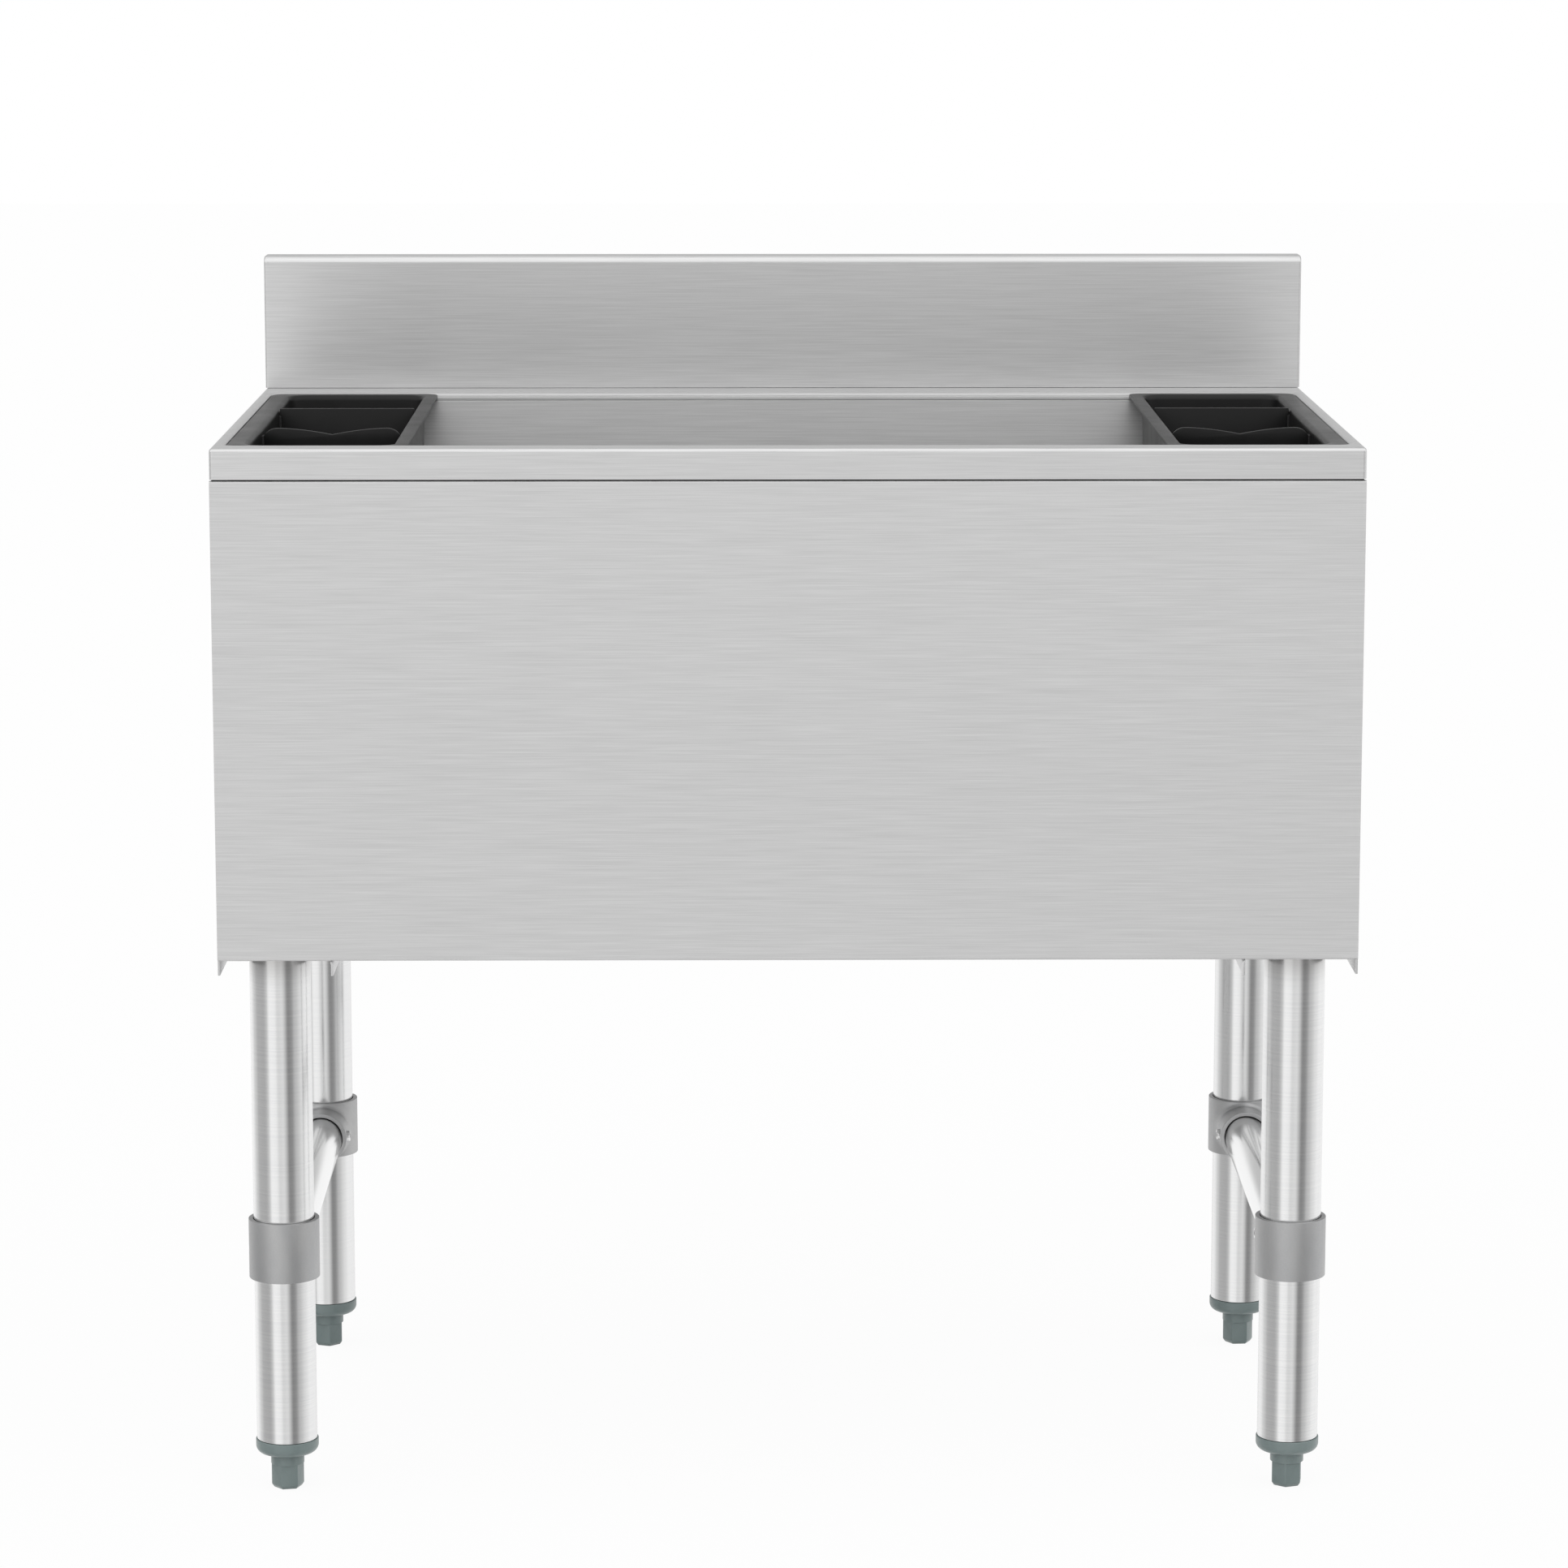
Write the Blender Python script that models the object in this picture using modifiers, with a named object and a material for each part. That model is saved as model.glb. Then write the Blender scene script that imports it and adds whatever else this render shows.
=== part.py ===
"""Underbar ice bin with a backsplash, two lift-out bottle wells and four braced legs.

Metres, +Z up. The front faces -Y, X = 0 is the middle of the bin, Z = 0 is the floor.
The body is folded stainless sheet around a foamed, drained ice tub.
"""
import math

import bmesh
import bpy
from mathutils import Matrix, Vector

# Body
BODY_WIDTH = 0.762
BODY_DEPTH = 0.4572
RIM_HEIGHT = 0.720
BODY_DROP = 0.3432
SKIRT_DROP = 0.0101
SHEET = 0.0015
GAP = 0.00032

# Deck
APRON_HEIGHT = 0.0205
SEAM_GAP = 0.0007
RIM_BEND = 0.0022
RIM_CORNER = 0.003
FRONT_RIM = 0.025
SIDE_RIM = 0.0075
BACK_LEDGE = 0.0348
OPENING_CORNER = 0.010
LIP_BEND = 0.0017
SEAT_DROP = 0.0032
SEAT_FRONT = 0.0055
SEAT_SIDE = 0.0105
SEAT_BACK = 0.0075

# Backsplash
SPLASH_HEIGHT = 0.0972
SPLASH_DEPTH = 0.0254
SPLASH_TOP_BEND = 0.0042
SPLASH_END_BEND = 0.0019

# Panels
JOGGLE_LIP = 0.011
JOGGLE_RISE = 0.0006
PANEL_RETURN = 0.014
PANEL_BEND = 0.0017
JOGGLE_BEND = 0.0003

# Ice tub
TUB_FLANGE = 0.009
TUB_TOP_BEND = 0.002
TUB_CORNER = 0.014
TUB_COVE = 0.012
UNDER_TUB = 0.0349
TUB_FALL = 0.0045
SUMP_RADIUS = 0.046
SUMP_DEPTH = 0.0035
SUMP_SLOPE = 0.004

# Drain
DRAIN_FLANGE_RADIUS = 0.040
DRAIN_FLANGE = 0.002
DRAIN_BOWL_RADIUS = 0.0245
DRAIN_BOWL_DEPTH = 0.020
DRAIN_WALL = 0.002
DRAIN_TAPER = 0.004
DRAIN_TAIL_RADIUS = 0.0167
DRAIN_TAIL_WALL = 0.0037
DRAIN_TAIL_BELOW = 0.0268
STRAINER_SHEET = 0.0012
STRAINER_DROP = 0.002
STRAINER_LEDGE = 0.0016
STRAINER_HOLE_RADIUS = 0.002
GASKET_RADIUS = 0.034
GASKET = 0.0018
LOCKNUT_RADIUS = 0.034
LOCKNUT_HEIGHT = 0.008

# Legs
LEG_INSET_SIDE = 0.0377
LEG_INSET_END = 0.0456
LEG_DIAMETER = 0.0413
LEG_WALL = 0.0015
CHANNEL_WIDTH = 0.0772
CHANNEL_BEND = 0.0022
CHANNEL_NOTCH = 0.010
SOCKET_HEIGHT = 0.0271
SOCKET_WALL = 0.00175
SOCKET_CAP = 0.003
SOCKET_FLANGE = 0.003
SOCKET_FLANGE_WIDTH = 0.010
SOCKET_FIT = 0.0006

# Leg connectors and braces
TEE_HEIGHT = 0.0410
TEE_RISE = 0.001
TEE_WALL = 0.00295
TEE_FIT = 0.00045
TEE_EDGE = 0.0004
BRACE_HEIGHT = 0.1685
BOSS_REACH = 0.045
BOSS_WALL = 0.0028
BOSS_FLARE = 0.003
BOSS_EDGE = 0.0005
BRACE_DIAMETER = 0.03175
BRACE_WALL = 0.0012
BRACE_FIT = 0.0005
BRACE_STOP = 0.00135
SCREW_RADIUS = 0.0038
SCREW_FIT = 0.00035
SCREW_PROUD = 0.002
SCREW_SINK = 0.0003
SCREW_SOCKET_RADIUS = 0.0021
SCREW_SOCKET_DEPTH = 0.0018
BOSS_SCREW_BACK = 0.010

# Feet
FOOT_RADIUS = 0.0114
FOOT_HEX_RADIUS = 0.0112
FOOT_HEX_HEIGHT = 0.017
FOOT_CHAMFER = 0.0018
FOOT_CHAMFER_HEIGHT = 0.0024
FOOT_NECK_HEIGHT = 0.0077
FOOT_LAP = 0.003
FOOT_TURNS = {"front_left": 11.4, "front_right": 21.2, "back_left": 40.0, "back_right": 3.0}
STUD_RADIUS = 0.006
STUD_LENGTH = 0.045
STUD_CHAMFER = 0.001
CUP_RADIUS = 0.02145
CUP_HEIGHT = 0.010
CUP_ROUND = 0.0055
PLUG_HEIGHT = 0.035
PLUG_FIT = 0.00035
PLUG_CHAMFER = 0.0015

# Bottle wells
WELL_WIDTH = 0.1203
WELL_SIDE_FIT = 0.0012
WELL_END_FIT = 0.0006
WELL_SHEET = 0.002
WELL_INNER_RIM = 0.0106
WELL_OUTER_RIM = 0.0138
WELL_FRONT_RIM = 0.0079
WELL_BACK_RIM = 0.0109
WELL_DEPTH = 0.190
WELL_DRAFT = 0.004
WELL_CORNER = 0.0095
MOUTH_CORNER = 0.012
WELL_LIP_BEND = 0.0024
WELL_COVE = 0.010
WELL_EDGE = 0.0005

# Well dividers
DIVIDER_SHEET = 0.003
DIVIDER_FIT = 0.0004
FLAT_DIVIDER_PLACE = 0.286
WAVY_DIVIDER_PLACE = 0.146
WAVY_DIP = 0.0044
WAVY_POWER = 1.7
WAVY_CORNER = 0.010
WAVY_CORNER_DROP = 0.009
DIVIDER_EDGE = 0.0004
RIB_WIDTH = 0.002
RIB_REACH = 0.0015
RIB_TOP_DROP = 0.005

# Facets and cutters
CORNER_STEPS = 4
BEND_STEPS = 3
TUBE_SIDES = 32
INNER_SIDES = 24
HEX_SIDES = 6
SMALL_SIDES = 12
HOLE_SIDES = 8
HALF_SHARE = 0.5
OVERRUN = 0.005
MERGE = 0.00001

# Places worked out from the sizes
FRONT = -BODY_DEPTH / 2
BACK = BODY_DEPTH / 2
HALF_WIDTH = BODY_WIDTH / 2
BODY_BOTTOM = RIM_HEIGHT - BODY_DROP
SKIRT_BOTTOM = BODY_BOTTOM - SKIRT_DROP
APRON_BOTTOM = RIM_HEIGHT - APRON_HEIGHT
PANEL_TOP = APRON_BOTTOM - SEAM_GAP
SPLASH_FACE = BACK - SPLASH_DEPTH
OPENING_X = HALF_WIDTH - SIDE_RIM
OPENING_FRONT = FRONT + FRONT_RIM
OPENING_BACK = SPLASH_FACE - BACK_LEDGE
SEAT_TOP = RIM_HEIGHT - SEAT_DROP
TUB_X = OPENING_X - SEAT_SIDE
TUB_FRONT = OPENING_FRONT + SEAT_FRONT
TUB_BACK = OPENING_BACK - SEAT_BACK
TUB_TOP = SEAT_TOP - SHEET - GAP
FLOOR_PANEL = BODY_BOTTOM + SHEET + GAP
FLOOR_PANEL_TOP = FLOOR_PANEL + SHEET
SUMP_FLOOR = FLOOR_PANEL_TOP + UNDER_TUB
DRAIN_X = 0
DRAIN_Y = (TUB_FRONT + TUB_BACK) / 2
LEG_X = HALF_WIDTH - LEG_INSET_SIDE
LEG_Y = BODY_DEPTH / 2 - LEG_INSET_END
LEG_RADIUS = LEG_DIAMETER / 2
BRACE_RADIUS = BRACE_DIAMETER / 2
SOCKET_RADIUS = LEG_RADIUS + SOCKET_FIT + SOCKET_WALL
SOCKET_BASE = FLOOR_PANEL_TOP + GAP
SOCKET_TOP = SOCKET_BASE + SOCKET_HEIGHT
SOCKET_MOUTH = BODY_BOTTOM - GAP - SHEET
LEG_TOP = SOCKET_TOP - SOCKET_CAP - GAP
TEE_CENTRE = BRACE_HEIGHT + TEE_RISE
TEE_RADIUS = LEG_RADIUS + TEE_FIT + TEE_WALL
BOSS_BORE = BRACE_RADIUS + BRACE_FIT
BOSS_RADIUS = BOSS_BORE + BOSS_WALL
BRACE_END = TEE_RADIUS + BRACE_STOP
FOOT_TOP = FOOT_HEX_HEIGHT + FOOT_NECK_HEIGHT
CUP_BOTTOM = FOOT_TOP + GAP
CUP_TOP = CUP_BOTTOM + CUP_HEIGHT
LEG_BOTTOM = CUP_TOP + GAP
PLUG_RADIUS = LEG_RADIUS - LEG_WALL - PLUG_FIT
WELL_TOP = SEAT_TOP + GAP + WELL_SHEET
WELL_OUTER_X = OPENING_X - WELL_SIDE_FIT
WELL_INNER_X = WELL_OUTER_X - WELL_WIDTH
WELL_FRONT = OPENING_FRONT + WELL_END_FIT
WELL_BACK = OPENING_BACK - WELL_END_FIT
MOUTH_OUTER_X = WELL_OUTER_X - WELL_OUTER_RIM
MOUTH_INNER_X = WELL_INNER_X + WELL_INNER_RIM
MOUTH_FRONT = WELL_FRONT + WELL_FRONT_RIM
MOUTH_BACK = WELL_BACK - WELL_BACK_RIM
WELL_FLOOR = WELL_TOP - WELL_DEPTH

SIDES = {"left": -1, "right": 1}
ENDS = {"front": -1, "back": 1}


def clear_scene():
    for obj in list(bpy.data.objects):
        bpy.data.objects.remove(obj, do_unlink=True)


def new_collection(name):
    collection = bpy.data.collections.new(name)
    bpy.context.scene.collection.children.link(collection)
    return collection


def make_material(name, color, roughness, metallic):
    material = bpy.data.materials.new(name)
    material.use_nodes = True
    shader = material.node_tree.nodes["Principled BSDF"]
    shader.inputs["Base Color"].default_value = (*color, 1)
    shader.inputs["Roughness"].default_value = roughness
    shader.inputs["Metallic"].default_value = metallic
    return material


def add_object(name, mesh, material=None, parent=None):
    """Put a mesh in the parts collection, or in the cutters if it has no material."""
    obj = bpy.data.objects.new(name, mesh)
    if material:
        PARTS.objects.link(obj)
        mesh.materials.append(material)
    else:
        CUTTERS.objects.link(obj)
        obj.display_type = "WIRE"
        obj.hide_render = True
    if parent:
        obj.parent = parent
        obj.matrix_parent_inverse = parent.matrix_world.inverted()
    return obj


def add_empty(name, place, parent=None):
    """An empty on a moving piece's axis."""
    empty = bpy.data.objects.new(name, None)
    PARTS.objects.link(empty)
    empty.location = place
    if parent:
        empty.parent = parent
        empty.matrix_parent_inverse = parent.matrix_world.inverted()
    bpy.context.view_layer.update()
    return empty


def mesh_from(bm, name, smooth_angle=None):
    """Keep a closed mesh with its faces turned outwards."""
    bmesh.ops.recalc_face_normals(bm, faces=bm.faces)
    if bm.calc_volume(signed=True) < 0:
        bmesh.ops.reverse_faces(bm, faces=bm.faces)
    return keep_mesh(bm, name, smooth_angle)


def keep_mesh(bm, name, smooth_angle=None):
    mesh = bpy.data.meshes.new(name)
    bm.to_mesh(mesh)
    bm.free()
    if smooth_angle:
        mesh.shade_smooth()
        mesh.set_sharp_from_angle(angle=smooth_angle)
    return mesh


SMOOTH = math.radians(35)


def box(name, low, high, material=None, parent=None):
    """A block between two corners."""
    bm = bmesh.new()
    bmesh.ops.create_cube(bm, size=1)
    low = Vector(low)
    high = Vector(high)
    size = high - low
    bmesh.ops.scale(bm, vec=size, verts=bm.verts)
    bmesh.ops.translate(bm, vec=(low + high) / 2, verts=bm.verts)
    return add_object(name, mesh_from(bm, name), material, parent)


def cylinder(name, radius, start, end, sides=TUBE_SIDES, material=None, offset_share=0):
    """A round bar or cutter from one point to another, its facets offset by a share of one facet."""
    start = Vector(start)
    end = Vector(end)
    run = end - start
    bm = bmesh.new()
    bmesh.ops.create_cone(bm, cap_ends=True, segments=sides, radius1=radius, radius2=radius, depth=run.length)
    turn = run.to_track_quat("Z", "Y").to_matrix().to_4x4()
    turn = turn @ Matrix.Rotation(2 * math.pi * offset_share / sides, 4, "Z")
    bm.transform(Matrix.Translation((start + end) / 2) @ turn)
    return add_object(name, keep_mesh(bm, name, SMOOTH), material)


def turned(name, profile, material=None, place=(0, 0, 0), turn=None, sides=TUBE_SIDES, parent=None):
    """Turn a closed profile of (radius, height) points, listed down its outer side, about Z."""
    bm = bmesh.new()
    verts = [bm.verts.new((radius, 0, height)) for radius, height in profile]
    on_axis = profile[0][0] == 0 and profile[-1][0] == 0
    last = len(verts) - 1 if on_axis else len(verts)
    for index in range(last):
        bm.edges.new((verts[index], verts[(index + 1) % len(verts)]))
    mesh = keep_mesh(bm, name)
    obj = add_object(name, mesh, material)
    obj.location = place
    if turn:
        obj.rotation_euler = turn
    if parent:
        obj.parent = parent
        obj.matrix_parent_inverse = parent.matrix_world.inverted()
    screw = obj.modifiers.new("turn", "SCREW")
    screw.axis = "Z"
    screw.angle = 2 * math.pi
    screw.steps = sides
    screw.render_steps = sides
    screw.use_merge_vertices = True
    screw.merge_threshold = MERGE
    screw.use_smooth_shade = True
    return obj


def boolean(obj, other, operation="DIFFERENCE"):
    modifier = obj.modifiers.new(other.name, "BOOLEAN")
    modifier.operation = operation
    modifier.object = other
    modifier.solver = "EXACT"
    return modifier


def bevel(obj, width, steps=1, angle=math.radians(50)):
    modifier = obj.modifiers.new("edge", "BEVEL")
    modifier.width = width
    modifier.segments = steps
    modifier.limit_method = "ANGLE"
    modifier.angle_limit = angle
    modifier.use_clamp_overlap = True
    return modifier


def solidify(obj, thickness):
    """Thicken a surface behind its face."""
    modifier = obj.modifiers.new("sheet", "SOLIDIFY")
    modifier.thickness = thickness
    modifier.offset = -1
    modifier.use_even_offset = True
    modifier.use_quality_normals = True
    return modifier


def arc(centre, radius, start, end, steps):
    """Points along an arc in a plane, angles in quarter turns."""
    points = []
    for step in range(steps + 1):
        angle = (start + (end - start) * step / steps) * math.pi / 2
        points.append((centre[0] + radius * math.cos(angle), centre[1] + radius * math.sin(angle)))
    return points


def rounded_rect(low_x, high_x, low_y, high_y, radius, height):
    """The corner points of a rounded rectangle, the same count for every ring."""
    corners = [
        (high_x - radius, high_y - radius, 0),
        (low_x + radius, high_y - radius, 1),
        (low_x + radius, low_y + radius, 2),
        (high_x - radius, low_y + radius, 3),
    ]
    ring = []
    for centre_x, centre_y, quarter in corners:
        for x, y in arc((centre_x, centre_y), radius, quarter, quarter + 1, CORNER_STEPS):
            ring.append((x, y, height))
    return ring


def round_ring(radius, height):
    """A circle with as many points as a rounded rectangle."""
    count = 4 * (CORNER_STEPS + 1)
    ring = []
    for index in range(count):
        angle = 2 * math.pi * (index + 1 / 2) / count
        ring.append((radius * math.cos(angle), radius * math.sin(angle), height))
    return ring


def loft(name, rings, material=None, caps=(), closed=False, parent=None):
    """Bridge rings of equal count in order, with caps on the rings named by index."""
    bm = bmesh.new()
    loops = [[bm.verts.new(point) for point in ring] for ring in rings]
    count = len(rings[0])
    pairs = list(zip(loops, loops[1:]))
    if closed:
        pairs.append((loops[-1], loops[0]))
    for first, second in pairs:
        for index in range(count):
            after = (index + 1) % count
            bm.faces.new((first[index], first[after], second[after], second[index]))
    for index in caps:
        bm.faces.new(loops[index])
    if len(caps) == 2 or closed:
        mesh = mesh_from(bm, name, SMOOTH)
    else:
        if caps:
            bmesh.ops.recalc_face_normals(bm, faces=bm.faces)
            flip_if_down(bm)
        mesh = keep_mesh(bm, name, SMOOTH)
    return add_object(name, mesh, material, parent)


def flip_if_down(bm):
    """Turn an open tub's faces so that its floor faces up."""
    floor = min(bm.faces, key=lambda face: face.calc_center_median().z)
    if floor.normal.z < 0:
        bmesh.ops.reverse_faces(bm, faces=bm.faces)


def bent_path(corners, radii):
    """A polyline whose inner corners are bends, each with its own radius."""
    points = [Vector(corners[0])]
    for before, corner, after, radius in zip(corners, corners[1:], corners[2:], radii):
        corner = Vector(corner)
        into = (Vector(before) - corner).normalized()
        away = (Vector(after) - corner).normalized()
        half = into.angle(away) / 2
        reach = radius / math.tan(half)
        centre = corner + (into + away).normalized() * radius / math.sin(half)
        start = (corner + into * reach - centre).normalized()
        end = (corner + away * reach - centre).normalized()
        for step in range(BEND_STEPS + 1):
            points.append(centre + start.slerp(end, step / BEND_STEPS) * radius)
    points.append(Vector(corners[-1]))
    return points


def folded_sheet(name, corners, radii, run, facing):
    """Fold a sheet along a path of corners, run it out, and thicken it behind its outer face.

    facing is a point on the outer side of the sheet's first flat.
    """
    run = Vector(run)
    bm = bmesh.new()
    path = bent_path(corners, radii)
    near = [bm.verts.new(point) for point in path]
    far = [bm.verts.new(point + run) for point in path]
    for index in range(len(path) - 1):
        bm.faces.new((near[index], near[index + 1], far[index + 1], far[index]))
    bm.faces.ensure_lookup_table()
    bm.normal_update()
    first = bm.faces[0]
    if first.normal.dot(Vector(facing) - first.calc_center_median()) < 0:
        bmesh.ops.reverse_faces(bm, faces=bm.faces)
    obj = add_object(name, keep_mesh(bm, name, SMOOTH), STEEL)
    solidify(obj, SHEET)
    return obj


def span_box(name, first, second):
    """A cutter between any two opposite corners."""
    low = [min(a, b) for a, b in zip(first, second)]
    high = [max(a, b) for a, b in zip(first, second)]
    return box(name, low, high)


def deck_outline(grow, corner, height):
    """The deck's opening, grown outwards by an amount."""
    return rounded_rect(
        -OPENING_X - grow, OPENING_X + grow, OPENING_FRONT - grow, OPENING_BACK + grow, corner, height
    )


def build_deck():
    """The top: apron, bent rim, opening and the stepped seat for the bottle wells."""
    rings = [rounded_rect(-HALF_WIDTH, HALF_WIDTH, FRONT, BACK, RIM_CORNER, APRON_BOTTOM)]
    for out, up in arc((0, 0), RIM_BEND, 0, 1, BEND_STEPS):
        inset = RIM_BEND - out
        rings.append(
            rounded_rect(
                -HALF_WIDTH + inset, HALF_WIDTH - inset, FRONT + inset, BACK - inset,
                RIM_CORNER - inset, RIM_HEIGHT - RIM_BEND + up,
            )
        )
    for out, up in arc((0, 0), LIP_BEND, 1, 0, BEND_STEPS):
        grow = LIP_BEND - out
        rings.append(deck_outline(grow, OPENING_CORNER + grow, RIM_HEIGHT - LIP_BEND + up))
    rings.append(deck_outline(0, OPENING_CORNER, SEAT_TOP))
    rings.append(rounded_rect(-TUB_X, TUB_X, TUB_FRONT, TUB_BACK, TUB_CORNER, SEAT_TOP))
    deck = loft("top_deck", rings, STEEL)
    flip_open_sheet(deck)
    solidify(deck, SHEET)


def flip_open_sheet(obj):
    """Turn a lofted sheet so that its rings' outer side is its face."""
    bm = bmesh.new()
    bm.from_mesh(obj.data)
    bm.normal_update()
    top = max(bm.faces, key=lambda face: face.calc_center_median().z)
    if top.normal.z < 0:
        bmesh.ops.reverse_faces(bm, faces=bm.faces)
    bm.to_mesh(obj.data)
    bm.free()
    obj.data.shade_smooth()
    obj.data.set_sharp_from_angle(angle=SMOOTH)


def drain_ring(radius, height):
    return [(x + DRAIN_X, y + DRAIN_Y, z) for x, y, z in round_ring(radius, height)]


def tub_rings(grow):
    """The ice tub's surface from its walls to the edge of its sump, grown by an amount."""
    cove = TUB_COVE + grow
    edge = SUMP_FLOOR + SUMP_DEPTH
    rings = []
    for out, down in arc((0, 0), cove, 0, -1, BEND_STEPS + 2):
        inset = cove - grow - out
        rings.append(
            rounded_rect(
                -TUB_X + inset, TUB_X - inset, TUB_FRONT + inset, TUB_BACK - inset,
                TUB_CORNER - inset, edge + TUB_FALL - grow + cove + down,
            )
        )
    rings.append(drain_ring(SUMP_RADIUS + SUMP_SLOPE, edge - grow))
    return rings


def build_tub():
    """The welded ice tub: flange under the deck's seat, coved corners, floor falling to a sump."""
    top_bend = []
    for out, up in arc((0, 0), TUB_TOP_BEND, 1, 0, BEND_STEPS):
        grow = TUB_TOP_BEND - out
        top_bend.append(
            rounded_rect(
                -TUB_X - grow, TUB_X + grow, TUB_FRONT - grow, TUB_BACK + grow,
                TUB_CORNER + grow, TUB_TOP - TUB_TOP_BEND + up,
            )
        )
    flange = rounded_rect(
        -TUB_X - TUB_FLANGE, TUB_X + TUB_FLANGE, TUB_FRONT - TUB_FLANGE, TUB_BACK + TUB_FLANGE,
        TUB_CORNER + TUB_FLANGE, TUB_TOP,
    )
    sump = drain_ring(SUMP_RADIUS, SUMP_FLOOR)
    hole = drain_ring(DRAIN_BOWL_RADIUS + GAP, SUMP_FLOOR)
    tub = loft("ice_tub", [flange, *top_bend, *tub_rings(0), sump, hole], STEEL)
    flip_open_sheet(tub)
    solidify(tub, SHEET)


def build_backsplash():
    """A hollow upstand along the back, open underneath, with a bent top."""
    bm = bmesh.new()
    bmesh.ops.create_cube(bm, size=1)
    low = Vector((-HALF_WIDTH, SPLASH_FACE, RIM_HEIGHT + GAP))
    high = Vector((HALF_WIDTH, BACK, RIM_HEIGHT + SPLASH_HEIGHT))
    bmesh.ops.scale(bm, vec=high - low, verts=bm.verts)
    bmesh.ops.translate(bm, vec=(low + high) / 2, verts=bm.verts)
    bmesh.ops.recalc_face_normals(bm, faces=bm.faces)
    bottom = [face for face in bm.faces if face.normal.z < -1 / 2]
    bmesh.ops.delete(bm, geom=bottom, context="FACES_ONLY")
    middle = (low + high) / 2
    long_top = [
        edge for edge in bm.edges
        if all(vert.co.z > middle.z for vert in edge.verts)
        and (edge.verts[0].co.x - middle.x) * (edge.verts[1].co.x - middle.x) < 0
    ]
    bmesh.ops.bevel(
        bm, geom=long_top, offset=SPLASH_TOP_BEND, segments=BEND_STEPS + 1, profile=1 / 2, affect="EDGES"
    )
    ends = [
        edge for edge in bm.edges
        if len(edge.link_faces) == 2
        and any(abs(face.normal.x) > 1 / 2 for face in edge.link_faces)
        and not all(abs(face.normal.x) > 1 / 2 for face in edge.link_faces)
    ]
    bmesh.ops.bevel(
        bm, geom=ends, offset=SPLASH_END_BEND, segments=BEND_STEPS - 1, profile=1 / 2, affect="EDGES"
    )
    splash = add_object("backsplash", keep_mesh(bm, "backsplash", SMOOTH), STEEL)
    solidify(splash, SHEET)


def build_panels():
    """Folded outer panels whose top lips sit behind the deck's apron."""
    inset = SHEET + GAP
    for name, end in ENDS.items():
        face = end * BODY_DEPTH / 2
        inner = face - end * inset
        corners = [
            (-HALF_WIDTH, face - end * PANEL_RETURN, BODY_BOTTOM),
            (-HALF_WIDTH, face, BODY_BOTTOM),
            (-HALF_WIDTH, face, PANEL_TOP - JOGGLE_RISE),
            (-HALF_WIDTH, inner, PANEL_TOP),
            (-HALF_WIDTH, inner, PANEL_TOP + JOGGLE_LIP),
        ]
        radii = (PANEL_BEND, PANEL_BEND, JOGGLE_BEND)
        panel = folded_sheet(name + "_panel", corners, radii, (BODY_WIDTH, 0, 0), (0, 0, -BODY_DEPTH))
        for side_name, side in SIDES.items():
            label = name + "_panel_" + side_name
            near = side * (HALF_WIDTH - inset)
            far = side * (HALF_WIDTH + OVERRUN)
            lip = span_box(
                label + "_lip_notch",
                (near - side * inset, face + end * OVERRUN, PANEL_TOP - PANEL_BEND),
                (far, inner - end * OVERRUN, PANEL_TOP + JOGGLE_LIP + OVERRUN),
            )
            boolean(panel, lip)
            foot = span_box(
                label + "_foot_notch",
                (near, inner, BODY_BOTTOM - OVERRUN),
                (far, face - end * (PANEL_RETURN + OVERRUN), BODY_BOTTOM + OVERRUN),
            )
            boolean(panel, foot)
    for name, side in SIDES.items():
        face = side * HALF_WIDTH
        inner = face - side * inset
        start = FRONT + inset
        corners = [
            (face, start, SKIRT_BOTTOM),
            (face, start, PANEL_TOP - JOGGLE_RISE),
            (inner, start, PANEL_TOP),
            (inner, start, PANEL_TOP + JOGGLE_LIP),
        ]
        run = (0, BODY_DEPTH - 2 * inset, 0)
        radii = (PANEL_BEND, JOGGLE_BEND)
        panel = folded_sheet(name + "_panel", corners, radii, run, (side * BODY_WIDTH, 0, 0))
        for end_name, end in ENDS.items():
            notch = span_box(
                name + "_panel_" + end_name + "_lip_notch",
                (face + side * OVERRUN, end * (BODY_DEPTH / 2 - 2 * inset), PANEL_TOP - PANEL_BEND),
                (inner - side * OVERRUN, end * (BODY_DEPTH / 2 + OVERRUN), PANEL_TOP + JOGGLE_LIP + OVERRUN),
            )
            boolean(panel, notch)


def leg_places():
    for side_name, side in SIDES.items():
        for end_name, end in ENDS.items():
            yield end_name + "_" + side_name, side, end, (side * LEG_X, end * LEG_Y)


def build_floor():
    """The flat floor panel, cut for the leg sockets and the drain."""
    inset = SHEET + GAP
    floor = box(
        "floor_panel",
        (-HALF_WIDTH + inset, FRONT + inset, FLOOR_PANEL),
        (HALF_WIDTH - inset, BACK - inset, FLOOR_PANEL_TOP),
        STEEL,
    )
    low = FLOOR_PANEL - OVERRUN
    high = FLOOR_PANEL_TOP + OVERRUN
    for name, side, end, (x, y) in leg_places():
        hole = cylinder(
            "floor_hole_" + name, SOCKET_RADIUS + GAP, (x, y, low), (x, y, high), INNER_SIDES
        )
        boolean(floor, hole)
    tail = DRAIN_TAIL_RADIUS + 2 * GAP
    hole = cylinder(
        "floor_hole_drain", tail, (DRAIN_X, DRAIN_Y, low), (DRAIN_X, DRAIN_Y, high), INNER_SIDES
    )
    boolean(floor, hole)


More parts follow.
